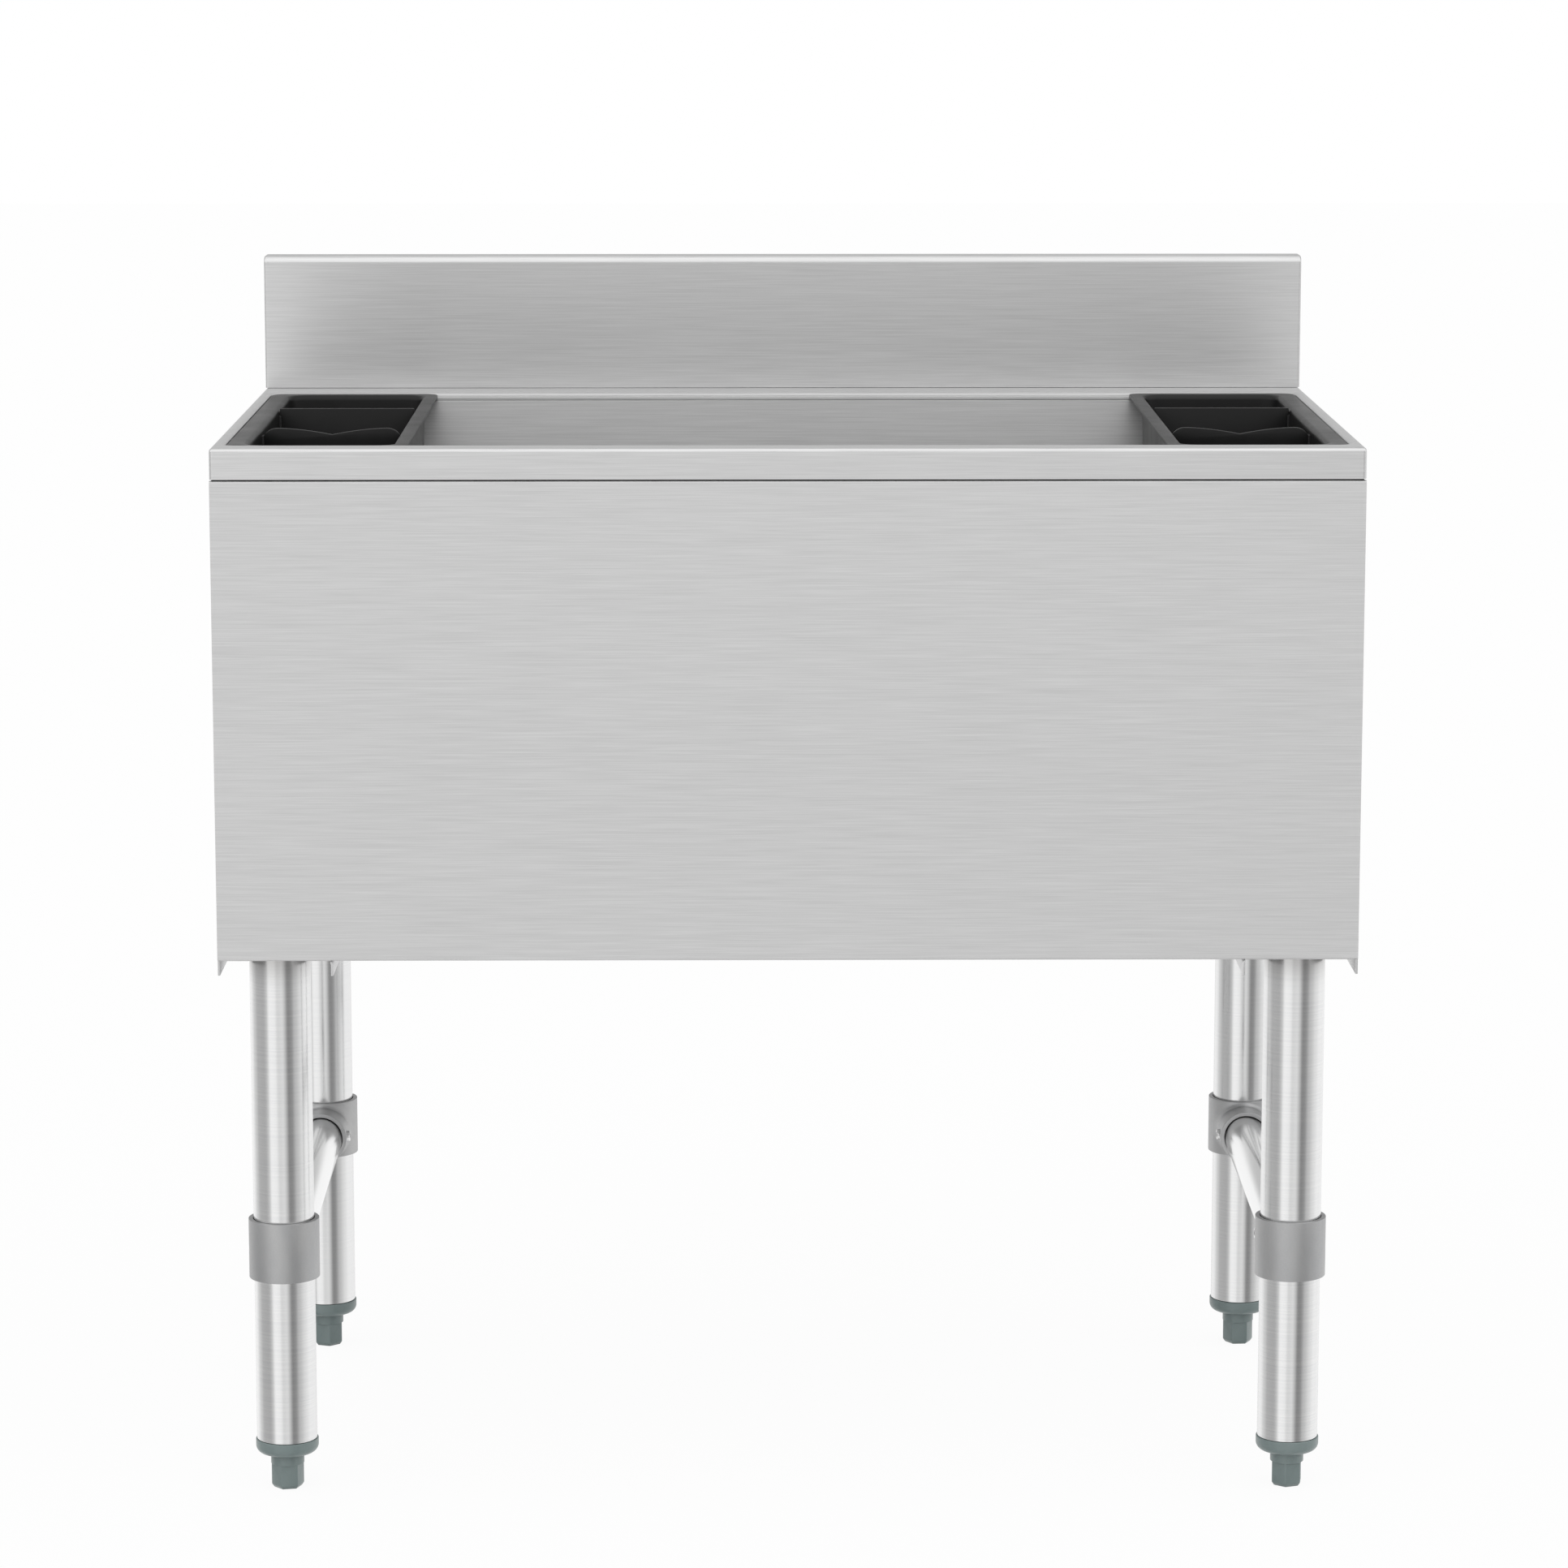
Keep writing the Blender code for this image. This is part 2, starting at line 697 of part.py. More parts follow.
def build_channels():
    """The folded channels under the floor that tie each pair of legs."""
    top = BODY_BOTTOM - GAP
    start = FRONT + GAP
    for name, side in SIDES.items():
        outer = side * (HALF_WIDTH - SHEET - GAP)
        inner = side * (HALF_WIDTH - CHANNEL_WIDTH)
        corners = [(outer, start, top), (inner, start, top), (inner, start, SKIRT_BOTTOM)]
        run = (0, BODY_DEPTH - 2 * GAP, 0)
        channel = folded_sheet(name + "_leg_channel", corners, (CHANNEL_BEND,), run, (0, 0, BODY_WIDTH))
        for end_name, end in ENDS.items():
            x = side * LEG_X
            y = end * LEG_Y
            hole = cylinder(
                "channel_hole_" + end_name + "_" + name, SOCKET_RADIUS + GAP,
                (x, y, top - SHEET - OVERRUN), (x, y, top + OVERRUN), INNER_SIDES,
            )
            boolean(channel, hole)
            relief = span_box(
                "channel_relief_" + end_name + "_" + name,
                (outer + side * OVERRUN, end * (BODY_DEPTH / 2 + OVERRUN), top + OVERRUN),
                (inner + side * (SHEET + GAP), end * (BODY_DEPTH / 2 - CHANNEL_NOTCH), SKIRT_BOTTOM - OVERRUN),
            )
            boolean(channel, relief)


def build_insulation():
    """The foam between the tub and the panels, with pockets for the sockets and the drain."""
    inset = 2 * (SHEET + GAP)
    grow = SHEET + GAP
    top = TUB_TOP - grow
    foam = box(
        "insulation",
        (-HALF_WIDTH + inset, FRONT + inset, FLOOR_PANEL_TOP + GAP),
        (HALF_WIDTH - inset, BACK - inset, top),
        FOAM,
    )
    rings = tub_rings(grow)
    high = [(x, y, top + OVERRUN) for x, y, z in rings[0]]
    boolean(foam, loft("tub_space", [high, *rings], caps=(0, len(rings))))
    bend = TUB_TOP_BEND + grow
    low = rounded_rect(
        -TUB_X - bend, TUB_X + bend, TUB_FRONT - bend, TUB_BACK + bend, TUB_CORNER + bend, top - TUB_TOP_BEND
    )
    high = [(x, y, top + OVERRUN) for x, y, z in low]
    boolean(foam, loft("tub_bend_space", [high, low], caps=(0, 1)))
    for name, side, end, (x, y) in leg_places():
        pocket = cylinder(
            "socket_pocket_" + name, SOCKET_RADIUS + SOCKET_FLANGE_WIDTH + GAP,
            (x, y, FLOOR_PANEL), (x, y, SOCKET_TOP + GAP), INNER_SIDES,
        )
        boolean(foam, pocket)
    pocket = cylinder(
        "drain_pocket", SUMP_RADIUS + SUMP_SLOPE + grow,
        (DRAIN_X, DRAIN_Y, FLOOR_PANEL), (DRAIN_X, DRAIN_Y, SUMP_FLOOR + SUMP_DEPTH), INNER_SIDES,
    )
    boolean(foam, pocket)


def build_sockets():
    """Closed sockets on the floor panel that the legs plug into."""
    for name, side, end, (x, y) in leg_places():
        flange = SOCKET_RADIUS + SOCKET_FLANGE_WIDTH
        bore = LEG_RADIUS + SOCKET_FIT
        profile = [
            (0, SOCKET_TOP),
            (SOCKET_RADIUS, SOCKET_TOP),
            (SOCKET_RADIUS, SOCKET_BASE + SOCKET_FLANGE),
            (flange, SOCKET_BASE + SOCKET_FLANGE),
            (flange, SOCKET_BASE),
            (SOCKET_RADIUS, SOCKET_BASE),
            (SOCKET_RADIUS, SOCKET_MOUTH),
            (bore, SOCKET_MOUTH),
            (bore, SOCKET_TOP - SOCKET_CAP),
            (0, SOCKET_TOP - SOCKET_CAP),
        ]
        turned("leg_socket_" + name, profile, STEEL, (x, y, 0), sides=INNER_SIDES)


def tube_profile(radius, wall, low, high):
    return [(radius, high), (radius, low), (radius - wall, low), (radius - wall, high)]


def build_legs():
    for name, side, end, (x, y) in leg_places():
        turned("leg_" + name, tube_profile(LEG_RADIUS, LEG_WALL, LEG_BOTTOM, LEG_TOP), TUBE, (x, y, 0))


def build_tees():
    """Cast connectors: a collar on the leg and a flared boss that holds the brace."""
    low = TEE_CENTRE - TEE_HEIGHT / 2
    high = TEE_CENTRE + TEE_HEIGHT / 2
    collar = [
        (0, high),
        (TEE_RADIUS - TEE_EDGE, high),
        (TEE_RADIUS, high - TEE_EDGE),
        (TEE_RADIUS, low + TEE_EDGE),
        (TEE_RADIUS - TEE_EDGE, low),
        (0, low),
    ]
    flare_centre = (BOSS_RADIUS + BOSS_FLARE, TEE_RADIUS + BOSS_FLARE)
    boss_outline = [
        (0, BOSS_REACH),
        (BOSS_RADIUS - BOSS_EDGE, BOSS_REACH),
        (BOSS_RADIUS, BOSS_REACH - BOSS_EDGE),
        *arc(flare_centre, BOSS_FLARE, 2, 3, BEND_STEPS),
        (BOSS_RADIUS + BOSS_FLARE, 0),
        (0, 0),
    ]
    trim = (TEE_HEIGHT - TEE_EDGE) / 2
    for name, side, end, (x, y) in leg_places():
        inward = -end
        tee = turned("leg_tee_" + name, collar, CAST, (x, y, 0))
        boss = turned(
            "boss_" + name, boss_outline, None, (x, y, BRACE_HEIGHT), (-inward * math.pi / 2, 0, 0)
        )
        slab = box(
            "boss_slab_" + name,
            (x - CHANNEL_WIDTH, y - BOSS_REACH - OVERRUN, TEE_CENTRE - trim),
            (x + CHANNEL_WIDTH, y + BOSS_REACH + OVERRUN, TEE_CENTRE + trim),
        )
        boolean(boss, slab, "INTERSECT")
        boolean(tee, boss, "UNION")
        bore = cylinder(
            "tee_bore_" + name, LEG_RADIUS + TEE_FIT, (x, y, low - OVERRUN), (x, y, high + OVERRUN),
            offset_share=HALF_SHARE,
        )
        boolean(tee, bore)
        boss_bore = cylinder(
            "boss_bore_" + name, BOSS_BORE,
            (x, y + inward * (BRACE_END - GAP), BRACE_HEIGHT),
            (x, y + inward * (BOSS_REACH + OVERRUN), BRACE_HEIGHT),
            offset_share=HALF_SHARE,
        )
        boolean(tee, boss_bore)
        screw_y = y + inward * (BOSS_REACH - BOSS_SCREW_BACK)
        radius = SCREW_RADIUS + SCREW_FIT
        hole = cylinder(
            "boss_screw_hole_" + name, radius,
            (x, screw_y, BRACE_HEIGHT), (x - side * (BOSS_RADIUS + OVERRUN), screw_y, BRACE_HEIGHT),
            SMALL_SIDES,
        )
        boolean(tee, hole)
        hole = cylinder(
            "collar_screw_hole_" + name, radius,
            (x, y, TEE_CENTRE), (x + side * (TEE_RADIUS + OVERRUN), y, TEE_CENTRE), SMALL_SIDES,
        )
        boolean(tee, hole)
        build_set_screw(
            "brace_screw_" + name, (x, screw_y, BRACE_HEIGHT), -side, BRACE_RADIUS, BOSS_RADIUS + SCREW_PROUD
        )
        build_set_screw("collar_screw_" + name, (x, y, TEE_CENTRE), side, LEG_RADIUS, TEE_RADIUS - SCREW_SINK)


def build_set_screw(name, place, direction, tube_radius, outer):
    """A headless screw from the tube that it locks out through the casting."""
    inner = tube_radius + GAP
    profile = [
        (0, outer - SCREW_SOCKET_DEPTH),
        (SCREW_SOCKET_RADIUS, outer - SCREW_SOCKET_DEPTH),
        (SCREW_SOCKET_RADIUS, outer),
        (SCREW_RADIUS, outer),
        (SCREW_RADIUS, inner),
        (0, inner),
    ]
    turned(name, profile, SCREW, place, (0, direction * math.pi / 2, 0), SMALL_SIDES)


def build_braces():
    reach = LEG_Y - BRACE_END
    for name, side in SIDES.items():
        profile = tube_profile(BRACE_RADIUS, BRACE_WALL, -reach, reach)
        turned(name + "_brace", profile, TUBE, (side * LEG_X, 0, BRACE_HEIGHT), (math.pi / 2, 0, 0))


def build_feet():
    """Plastic cups plugged into the legs, and the hexagonal feet that screw into them."""
    bore = STUD_RADIUS + GAP
    plug_top = LEG_BOTTOM + PLUG_HEIGHT
    cup = [
        (PLUG_RADIUS - PLUG_CHAMFER, plug_top),
        (PLUG_RADIUS, plug_top - PLUG_CHAMFER),
        (PLUG_RADIUS, CUP_TOP),
        (CUP_RADIUS, CUP_TOP),
        *arc((CUP_RADIUS - CUP_ROUND, CUP_BOTTOM + CUP_ROUND), CUP_ROUND, 0, -1, BEND_STEPS + 1),
        (bore, CUP_BOTTOM),
        (bore, plug_top),
    ]
    stud_top = FOOT_TOP + STUD_LENGTH
    stud = [
        (0, stud_top),
        (STUD_RADIUS - STUD_CHAMFER, stud_top),
        (STUD_RADIUS, stud_top - STUD_CHAMFER),
        (STUD_RADIUS, FOOT_TOP),
        (FOOT_RADIUS, FOOT_TOP),
        (FOOT_RADIUS, FOOT_HEX_HEIGHT),
        (0, FOOT_HEX_HEIGHT),
    ]
    hexagon = [
        (0, FOOT_HEX_HEIGHT + FOOT_LAP),
        (FOOT_HEX_RADIUS, FOOT_HEX_HEIGHT + FOOT_LAP),
        (FOOT_HEX_RADIUS, FOOT_CHAMFER_HEIGHT),
        (FOOT_HEX_RADIUS - FOOT_CHAMFER, 0),
        (0, 0),
    ]
    for name, side, end, (x, y) in leg_places():
        turned("foot_cup_" + name, cup, PLASTIC, (x, y, 0))
        slide = add_empty("foot_slide_" + name, (x, y, 0))
        foot = turned("foot_" + name, stud, PLASTIC, (x, y, 0), parent=slide)
        turn = (0, 0, math.radians(FOOT_TURNS[name]))
        boolean(foot, turned("foot_hex_" + name, hexagon, None, (x, y, 0), turn, HEX_SIDES), "UNION")


def well_rings(side):
    """A bottle well's surface: flange, rolled mouth, drafted walls and coved floor."""

    def place(inner, outer, front, back, radius, height):
        low_x = min(side * inner, side * outer)
        high_x = max(side * inner, side * outer)
        return rounded_rect(low_x, high_x, front, back, radius, height)

    rings = [place(WELL_INNER_X, WELL_OUTER_X, WELL_FRONT, WELL_BACK, WELL_CORNER, WELL_TOP)]
    for out, up in arc((0, 0), WELL_LIP_BEND, 1, 0, BEND_STEPS):
        grow = WELL_LIP_BEND - out
        rings.append(
            place(
                MOUTH_INNER_X - grow, MOUTH_OUTER_X + grow, MOUTH_FRONT - grow, MOUTH_BACK + grow,
                MOUTH_CORNER + grow, WELL_TOP - WELL_LIP_BEND + up,
            )
        )
    for out, down in arc((0, 0), WELL_COVE, 0, -1, BEND_STEPS):
        inset = WELL_DRAFT + WELL_COVE - out
        rings.append(
            place(
                MOUTH_INNER_X + inset, MOUTH_OUTER_X - inset, MOUTH_FRONT + inset, MOUTH_BACK - inset,
                MOUTH_CORNER + WELL_DRAFT - inset, WELL_FLOOR + WELL_COVE + down,
            )
        )
    return rings


def divider_places():
    return {"flat": FRONT + FLAT_DIVIDER_PLACE, "wavy": FRONT + WAVY_DIVIDER_PLACE}


def build_wells():
    """The moulded bottle wells, with pairs of ribs that guide their dividers."""
    for name, side in SIDES.items():
        lift = add_empty(name + "_well_lift", (side * (WELL_INNER_X + WELL_OUTER_X) / 2, 0, WELL_TOP))
        rings = well_rings(side)
        well = loft(name + "_bottle_well", rings, ABS, caps=(len(rings) - 1,), parent=lift)
        solidify(well, WELL_SHEET)
        for kind, place in divider_places().items():
            for wall_name, wall, toward in wall_places(side):
                for rib_name, direction in (("front", -1), ("back", 1)):
                    near = place + direction * (DIVIDER_SHEET / 2 + DIVIDER_FIT)
                    rib = span_box(
                        "_".join((name, kind, wall_name, rib_name, "rib")),
                        (wall - toward * WELL_SHEET / 2, near, WELL_FLOOR - WELL_SHEET / 2),
                        (wall + toward * RIB_REACH, near + direction * RIB_WIDTH, WELL_TOP - RIB_TOP_DROP),
                    )
                    for vert in rib.data.vertices:
                        if vert.co.z > WELL_FLOOR:
                            vert.co.x -= toward * WELL_DRAFT
                    boolean(well, rib, "UNION")
        bevel(well, WELL_EDGE, 1, math.radians(60))
        build_dividers(name, side, lift)


def wall_places(side):
    """Each long wall of a well: its name, its face at the floor and the way into the well."""
    inner = side * (MOUTH_INNER_X + WELL_DRAFT)
    outer = side * (MOUTH_OUTER_X - WELL_DRAFT)
    return (("inner", inner, side), ("outer", outer, -side))


def build_dividers(name, side, well_lift):
    """A plain divider and one with a waved top, each between two pairs of ribs."""
    centre = side * (MOUTH_INNER_X + MOUTH_OUTER_X) / 2
    half = (MOUTH_OUTER_X - MOUTH_INNER_X) / 2 - WELL_DRAFT - DIVIDER_FIT
    bottom = WELL_FLOOR + GAP
    foot = WELL_COVE
    top = WELL_TOP
    base = [(-half, bottom + foot), (-half + foot, bottom), (half - foot, bottom), (half, bottom + foot)]
    wide = half + WELL_DRAFT
    wave = wave_points(wide, top)
    outlines = {
        "flat": [*base, (wide, top), (-wide, top)],
        "wavy": [*base, *[(-u, v) for u, v in wave], *reversed(wave[:-1])],
    }
    for kind, place in divider_places().items():
        lift = add_empty(name + "_" + kind + "_divider_lift", (centre, place, top), well_lift)
        bm = bmesh.new()
        front = [bm.verts.new((centre + u, place - DIVIDER_SHEET / 2, v)) for u, v in outlines[kind]]
        face = bm.faces.new(front)
        grown = bmesh.ops.extrude_face_region(bm, geom=[face])
        moved = [item for item in grown["geom"] if isinstance(item, bmesh.types.BMVert)]
        bmesh.ops.translate(bm, vec=(0, DIVIDER_SHEET, 0), verts=moved)
        title = name + "_" + kind + "_divider"
        divider = add_object(title, mesh_from(bm, title), ABS, lift)
        bevel(divider, DIVIDER_EDGE, 1, math.radians(60))


def wave_points(half, top):
    """The wave from the left wall to the middle: a rounded corner, a hump and a shallow V."""
    points = []
    for u, v in arc((0, 0), 1, 2, 1, CORNER_STEPS):
        points.append((-half + WAVY_CORNER * (1 + u), top - WAVY_CORNER_DROP * (1 - v)))
    hump = half - WAVY_CORNER
    for step in range(1, CORNER_STEPS + 1):
        share = step / CORNER_STEPS
        points.append((-hump * (1 - share), top - WAVY_DIP * share ** WAVY_POWER))
    return points


def build_drain():
    """The drain body, its strainer, and the gasket and locknut that clamp it to the tub."""
    place = (DRAIN_X, DRAIN_Y, 0)
    seat = SUMP_FLOOR + GAP
    top = seat + DRAIN_FLANGE
    under = SUMP_FLOOR - SHEET - GAP
    bowl_low = SUMP_FLOOR - DRAIN_BOWL_DEPTH
    rebate = DRAIN_BOWL_RADIUS - DRAIN_WALL + STRAINER_LEDGE
    bowl = DRAIN_BOWL_RADIUS - DRAIN_WALL
    ledge = top - STRAINER_DROP
    tail_low = BODY_BOTTOM - DRAIN_TAIL_BELOW
    body = [
        (DRAIN_FLANGE_RADIUS, top),
        (DRAIN_FLANGE_RADIUS, seat),
        (DRAIN_BOWL_RADIUS, seat),
        (DRAIN_BOWL_RADIUS, bowl_low),
        (DRAIN_TAIL_RADIUS, bowl_low - DRAIN_TAPER),
        (DRAIN_TAIL_RADIUS, tail_low),
        (DRAIN_TAIL_RADIUS - DRAIN_TAIL_WALL, tail_low),
        (DRAIN_TAIL_RADIUS - DRAIN_TAIL_WALL, bowl_low),
        (bowl, bowl_low + DRAIN_TAPER),
        (bowl, ledge),
        (rebate, ledge),
        (rebate, top),
    ]
    turned("drain_body", body, STEEL, place, sides=INNER_SIDES)
    low = ledge + GAP
    high = low + STRAINER_SHEET
    strainer = cylinder(
        "drain_strainer", rebate - GAP, (DRAIN_X, DRAIN_Y, low), (DRAIN_X, DRAIN_Y, high), INNER_SIDES, STEEL
    )
    for ring, count in enumerate((1, 6, 12)):
        reach = (bowl - STRAINER_LEDGE) * ring / 3
        for index in range(count):
            angle = 2 * math.pi * index / count
            x = DRAIN_X + reach * math.cos(angle)
            y = DRAIN_Y + reach * math.sin(angle)
            hole = cylinder(
                "strainer_hole_%d_%d" % (ring, index), STRAINER_HOLE_RADIUS,
                (x, y, low - OVERRUN), (x, y, high + OVERRUN), HOLE_SIDES,
            )
            boolean(strainer, hole)
    inner = DRAIN_BOWL_RADIUS + GAP
    gasket = [(GASKET_RADIUS, under), (GASKET_RADIUS, under - GASKET), (inner, under - GASKET), (inner, under)]
    turned("drain_gasket", gasket, RUBBER, place, sides=INNER_SIDES)
    nut_top = under - GASKET - GAP
    nut = [
        (LOCKNUT_RADIUS, nut_top),
        (LOCKNUT_RADIUS, nut_top - LOCKNUT_HEIGHT),
        (inner, nut_top - LOCKNUT_HEIGHT),
        (inner, nut_top),
    ]
    turned("drain_locknut", nut, CAST, place, sides=INNER_SIDES)


clear_scene()
PARTS = new_collection("underbar_ice_bin")
CUTTERS = new_collection("underbar_ice_bin_cutters")
STEEL = make_material("brushed_sheet", (0.60, 0.60, 0.60), 0.35, 1)
TUBE = make_material("satin_tube", (0.66, 0.66, 0.66), 0.25, 1)
CAST = make_material("cast_connector", (0.36, 0.36, 0.36), 0.45, 0.6)
SCREW = make_material("set_screw", (0.55, 0.55, 0.55), 0.3, 1)
PLASTIC = make_material("foot_plastic", (0.15, 0.20, 0.20), 0.45, 0)
ABS = make_material("well_plastic", (0.03, 0.03, 0.03), 0.5, 0)
FOAM = make_material("foam", (0.75, 0.68, 0.45), 0.9, 0)
RUBBER = make_material("gasket_rubber", (0.03, 0.03, 0.03), 0.7, 0)

build_deck()
build_backsplash()
build_panels()
build_floor()
build_channels()
build_tub()
build_insulation()
build_drain()
build_sockets()
build_legs()
build_tees()
build_braces()
build_feet()
build_wells()
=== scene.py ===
"""The looks of an underbar ice bin: finely modelled sheet metal, castings and mouldings around its frame.

Metres, +Z up. The front faces -Y, X = 0 is the middle of the bin, Z = 0 is the floor.
"""
import math

import bmesh
import bpy
from mathutils import Matrix, Vector


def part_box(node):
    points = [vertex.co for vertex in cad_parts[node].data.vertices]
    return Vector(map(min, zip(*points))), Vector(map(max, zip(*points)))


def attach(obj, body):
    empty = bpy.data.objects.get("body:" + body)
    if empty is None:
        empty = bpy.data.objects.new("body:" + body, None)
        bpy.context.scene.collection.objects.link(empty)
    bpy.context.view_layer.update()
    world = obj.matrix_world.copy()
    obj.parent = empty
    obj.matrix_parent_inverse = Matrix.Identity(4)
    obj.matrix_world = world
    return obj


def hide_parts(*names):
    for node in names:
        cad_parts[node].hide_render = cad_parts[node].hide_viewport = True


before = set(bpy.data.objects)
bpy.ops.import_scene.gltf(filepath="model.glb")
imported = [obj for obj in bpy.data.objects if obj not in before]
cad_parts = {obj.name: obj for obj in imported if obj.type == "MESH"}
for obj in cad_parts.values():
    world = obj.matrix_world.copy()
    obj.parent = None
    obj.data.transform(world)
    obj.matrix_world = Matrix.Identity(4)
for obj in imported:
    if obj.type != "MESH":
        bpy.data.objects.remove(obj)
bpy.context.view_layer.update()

# Camera and stage
IMAGE_PIXELS = 1932
FOCAL_PIXELS = 6588
SENSOR_MILLIMETRES = 36
CAMERA_PLACE = (-0.0315, -3.7311, 1.0830)
CAMERA_DOWN = math.radians(9.508)
CAMERA_RIGHT = math.radians(0.469)
FLOOR_SIZE = 30
FLOOR_CELLS = 4
FLOOR_TONE = 0.82
FLOOR_SHADOW_SHARE = 0.06

# Light in the room round the bin, by compass angle from the front (right is positive)
ROOM_TONES = [
    (-180, 1.00), (-160, 1.04), (-146, 1.20), (-130, 1.15), (-112, 0.86), (-92, 0.60), (-62, 0.56),
    (-50, 0.74), (-40, 1.28), (-17, 1.22), (-9, 0.94), (3, 0.985), (10, 1.05), (17, 0.78), (30, 0.30),
    (42, 0.36), (59, 0.72), (88, 1.05), (106, 1.22), (140, 1.18), (160, 1.04), (180, 1.00),
]
# Light above the horizon, by angle from the front over the top to the back
SKY_TONES = [
    (0, 0.95), (16, 1.00), (32, 1.36), (66, 1.38), (90, 1.20), (108, 0.82), (135, 0.56), (160, 0.59),
    (180, 0.62),
]
ROOM_PEAK = 1.6
SKY_START = 0.0
SKY_FULL = 0.22

# Looks of the sheet and the tubes. Grain is in cycles per metre, along an axis and across it.
SHEET_METAL_SHARE = 0.8
SHEET_HAIR = (20, 1500)
SHEET_LINE = (10, 640)
HAIR_SHARE = 0.68
SHEET_DARK = 0.545
SHEET_LIGHT = 0.631
SHEET_ROUGH = 0.41
SHEET_ROUGH_SPREAD = 0.05
ANISOTROPY = 0.75
ANISOTROPY_TURN = 0.25
GRAIN_TILT = 0.02
TUBE_RINGS = (900, 6)
TUBE_DARK = (0.655, 0.657, 0.661)
TUBE_LIGHT = (0.700, 0.700, 0.697)
TUBE_ROUGH = 0.19
TUBE_ROUGH_SPREAD = 0.02
# Painted shade on the upright tubes just below the body, where the body shades their tops: how far it reaches
# and its tone
PAINTED_SHADE_REACH = 0.027
PAINTED_SHADE_TONE = (0.45, 0.445, 0.44)
PLASTIC_CLOUD = (30, 30, 30)
PLASTIC_ROUGH_SPREAD = 0.06

# Sheet metal
SHEET = 0.0015
GAP = 0.0003
RIM_BEND = 0.0022
RIM_CORNER = 0.0025
LIP_ROLL_RADIUS = 0.0075
LIP_ROLL_END = 2 / 3
LIP_BEND = 0.0016
FRONT_RIM = 0.025
SIDE_RIM = 0.0075
BACK_LEDGE = 0.0348
OPENING_CORNER = 0.010
SEAT_DROP = 0.0032
SEAT_FRONT = 0.0055
SEAT_SIDE = 0.0105
SEAT_BACK = 0.0075
SPLASH_TOP_BEND = 0.0056
SPLASH_END_BEND = 0.0019
JOGGLE_RISE = 0.0006
JOGGLE_LIP = 0.011
PANEL_RETURN = 0.014
PANEL_BEND = 0.0017
JOGGLE_BEND = 0.0003
CHANNEL_BEND = 0.0022
CHANNEL_NOTCH = 0.010
CHANNEL_HOLE_FIT = 0.0012
SHEET_EDGE = 0.00025

# Ice tub and drain
TUB_FLANGE = 0.009
TUB_TOP_BEND = 0.0005
TUB_CORNER = 0.014
TUB_COVE = 0.012
TUB_FALL = 0.0045
SUMP_RADIUS = 0.046
SUMP_DEPTH = 0.0035
SUMP_SLOPE = 0.004
DRAIN_BOWL_RADIUS = 0.0245
DRAIN_BOWL_DEPTH = 0.020
DRAIN_WALL = 0.002
DRAIN_TAPER = 0.004
DRAIN_TAIL_STEP = 0.0078
DRAIN_TAIL_WALL = 0.0037
DRAIN_EDGE = 0.0006
STRAINER_LEDGE = 0.0016
STRAINER_DROP = 0.002
STRAINER_HOLE_RADIUS = 0.0016
STRAINER_RINGS = (1, 6, 12, 18)
STRAINER_DISH = 0.0008
DISH_SHARES = ((0, 1), (0.5, 0.8), (0.85, 0))
TAIL_THREAD_PITCH = 0.0018
TAIL_THREAD_DEPTH = 0.0009
TAIL_THREAD_LENGTH = 0.020

# Legs, connectors and braces
LEG_WALL = 0.0015
BRACE_WALL = 0.0012
TUBE_EDGE = 0.0003
TEE_WALL = 0.00295
TEE_FIT = 0.00045
TEE_EDGE = 0.0004
BOSS_WALL = 0.0028
BRACE_FIT = 0.0003
BOSS_FILLET = 0.0032
BOSS_EDGE = 0.0006
SCREW_RADIUS = 0.0038
SCREW_FIT = 0.00035
SCREW_CHAMFER = 0.0006
SCREW_SOCKET_RADIUS = 0.0021
SCREW_SOCKET_DEPTH = 0.0022

# Feet
FOOT_HEX_RADIUS = 0.0112
FOOT_HEX_HEIGHT = 0.017
FOOT_NECK_HEIGHT = 0.0077
FOOT_CHAMFER = 0.0018
FOOT_CHAMFER_HEIGHT = 0.0024
FOOT_LAP = 0.003
FOOT_EDGE = 0.0005
FOOT_TURNS = {"front_left": 11.4, "front_right": 21.2, "back_left": 40.0, "back_right": 3.0}
STUD_RADIUS = 0.006
STUD_THREAD_DEPTH = 0.0009
STUD_THREAD_PITCH = 0.00175
STUD_LENGTH = 0.045
CUP_HEIGHT = 0.010
CUP_ROUND = 0.0055
CUP_EDGE = 0.0006
PLUG_CHAMFER = 0.0015
PLUG_FIT = 0.00035

# Bottle wells
WELL_SHEET = 0.002
WELL_INNER_RIM = 0.0106
WELL_OUTER_RIM = 0.0138
WELL_FRONT_RIM = 0.0079
WELL_BACK_RIM = 0.0109
WELL_DRAFT = 0.004
WELL_CORNER = 0.0095
MOUTH_CORNER = 0.012
WELL_LIP_BEND = 0.0038
WELL_COVE = 0.010
WELL_EDGE = 0.0006
DIVIDER_SHEET = 0.003
DIVIDER_FIT = 0.0004
WAVY_DIP = 0.0044
WAVY_POWER = 1.7
WAVY_CORNER = 0.010
WAVY_CORNER_DROP = 0.009
DIVIDER_EDGE = 0.0005
RIB_WIDTH = 0.002
RIB_REACH = 0.0015
RIB_TOP_DROP = 0.005
RIB_EDGE = 0.0005

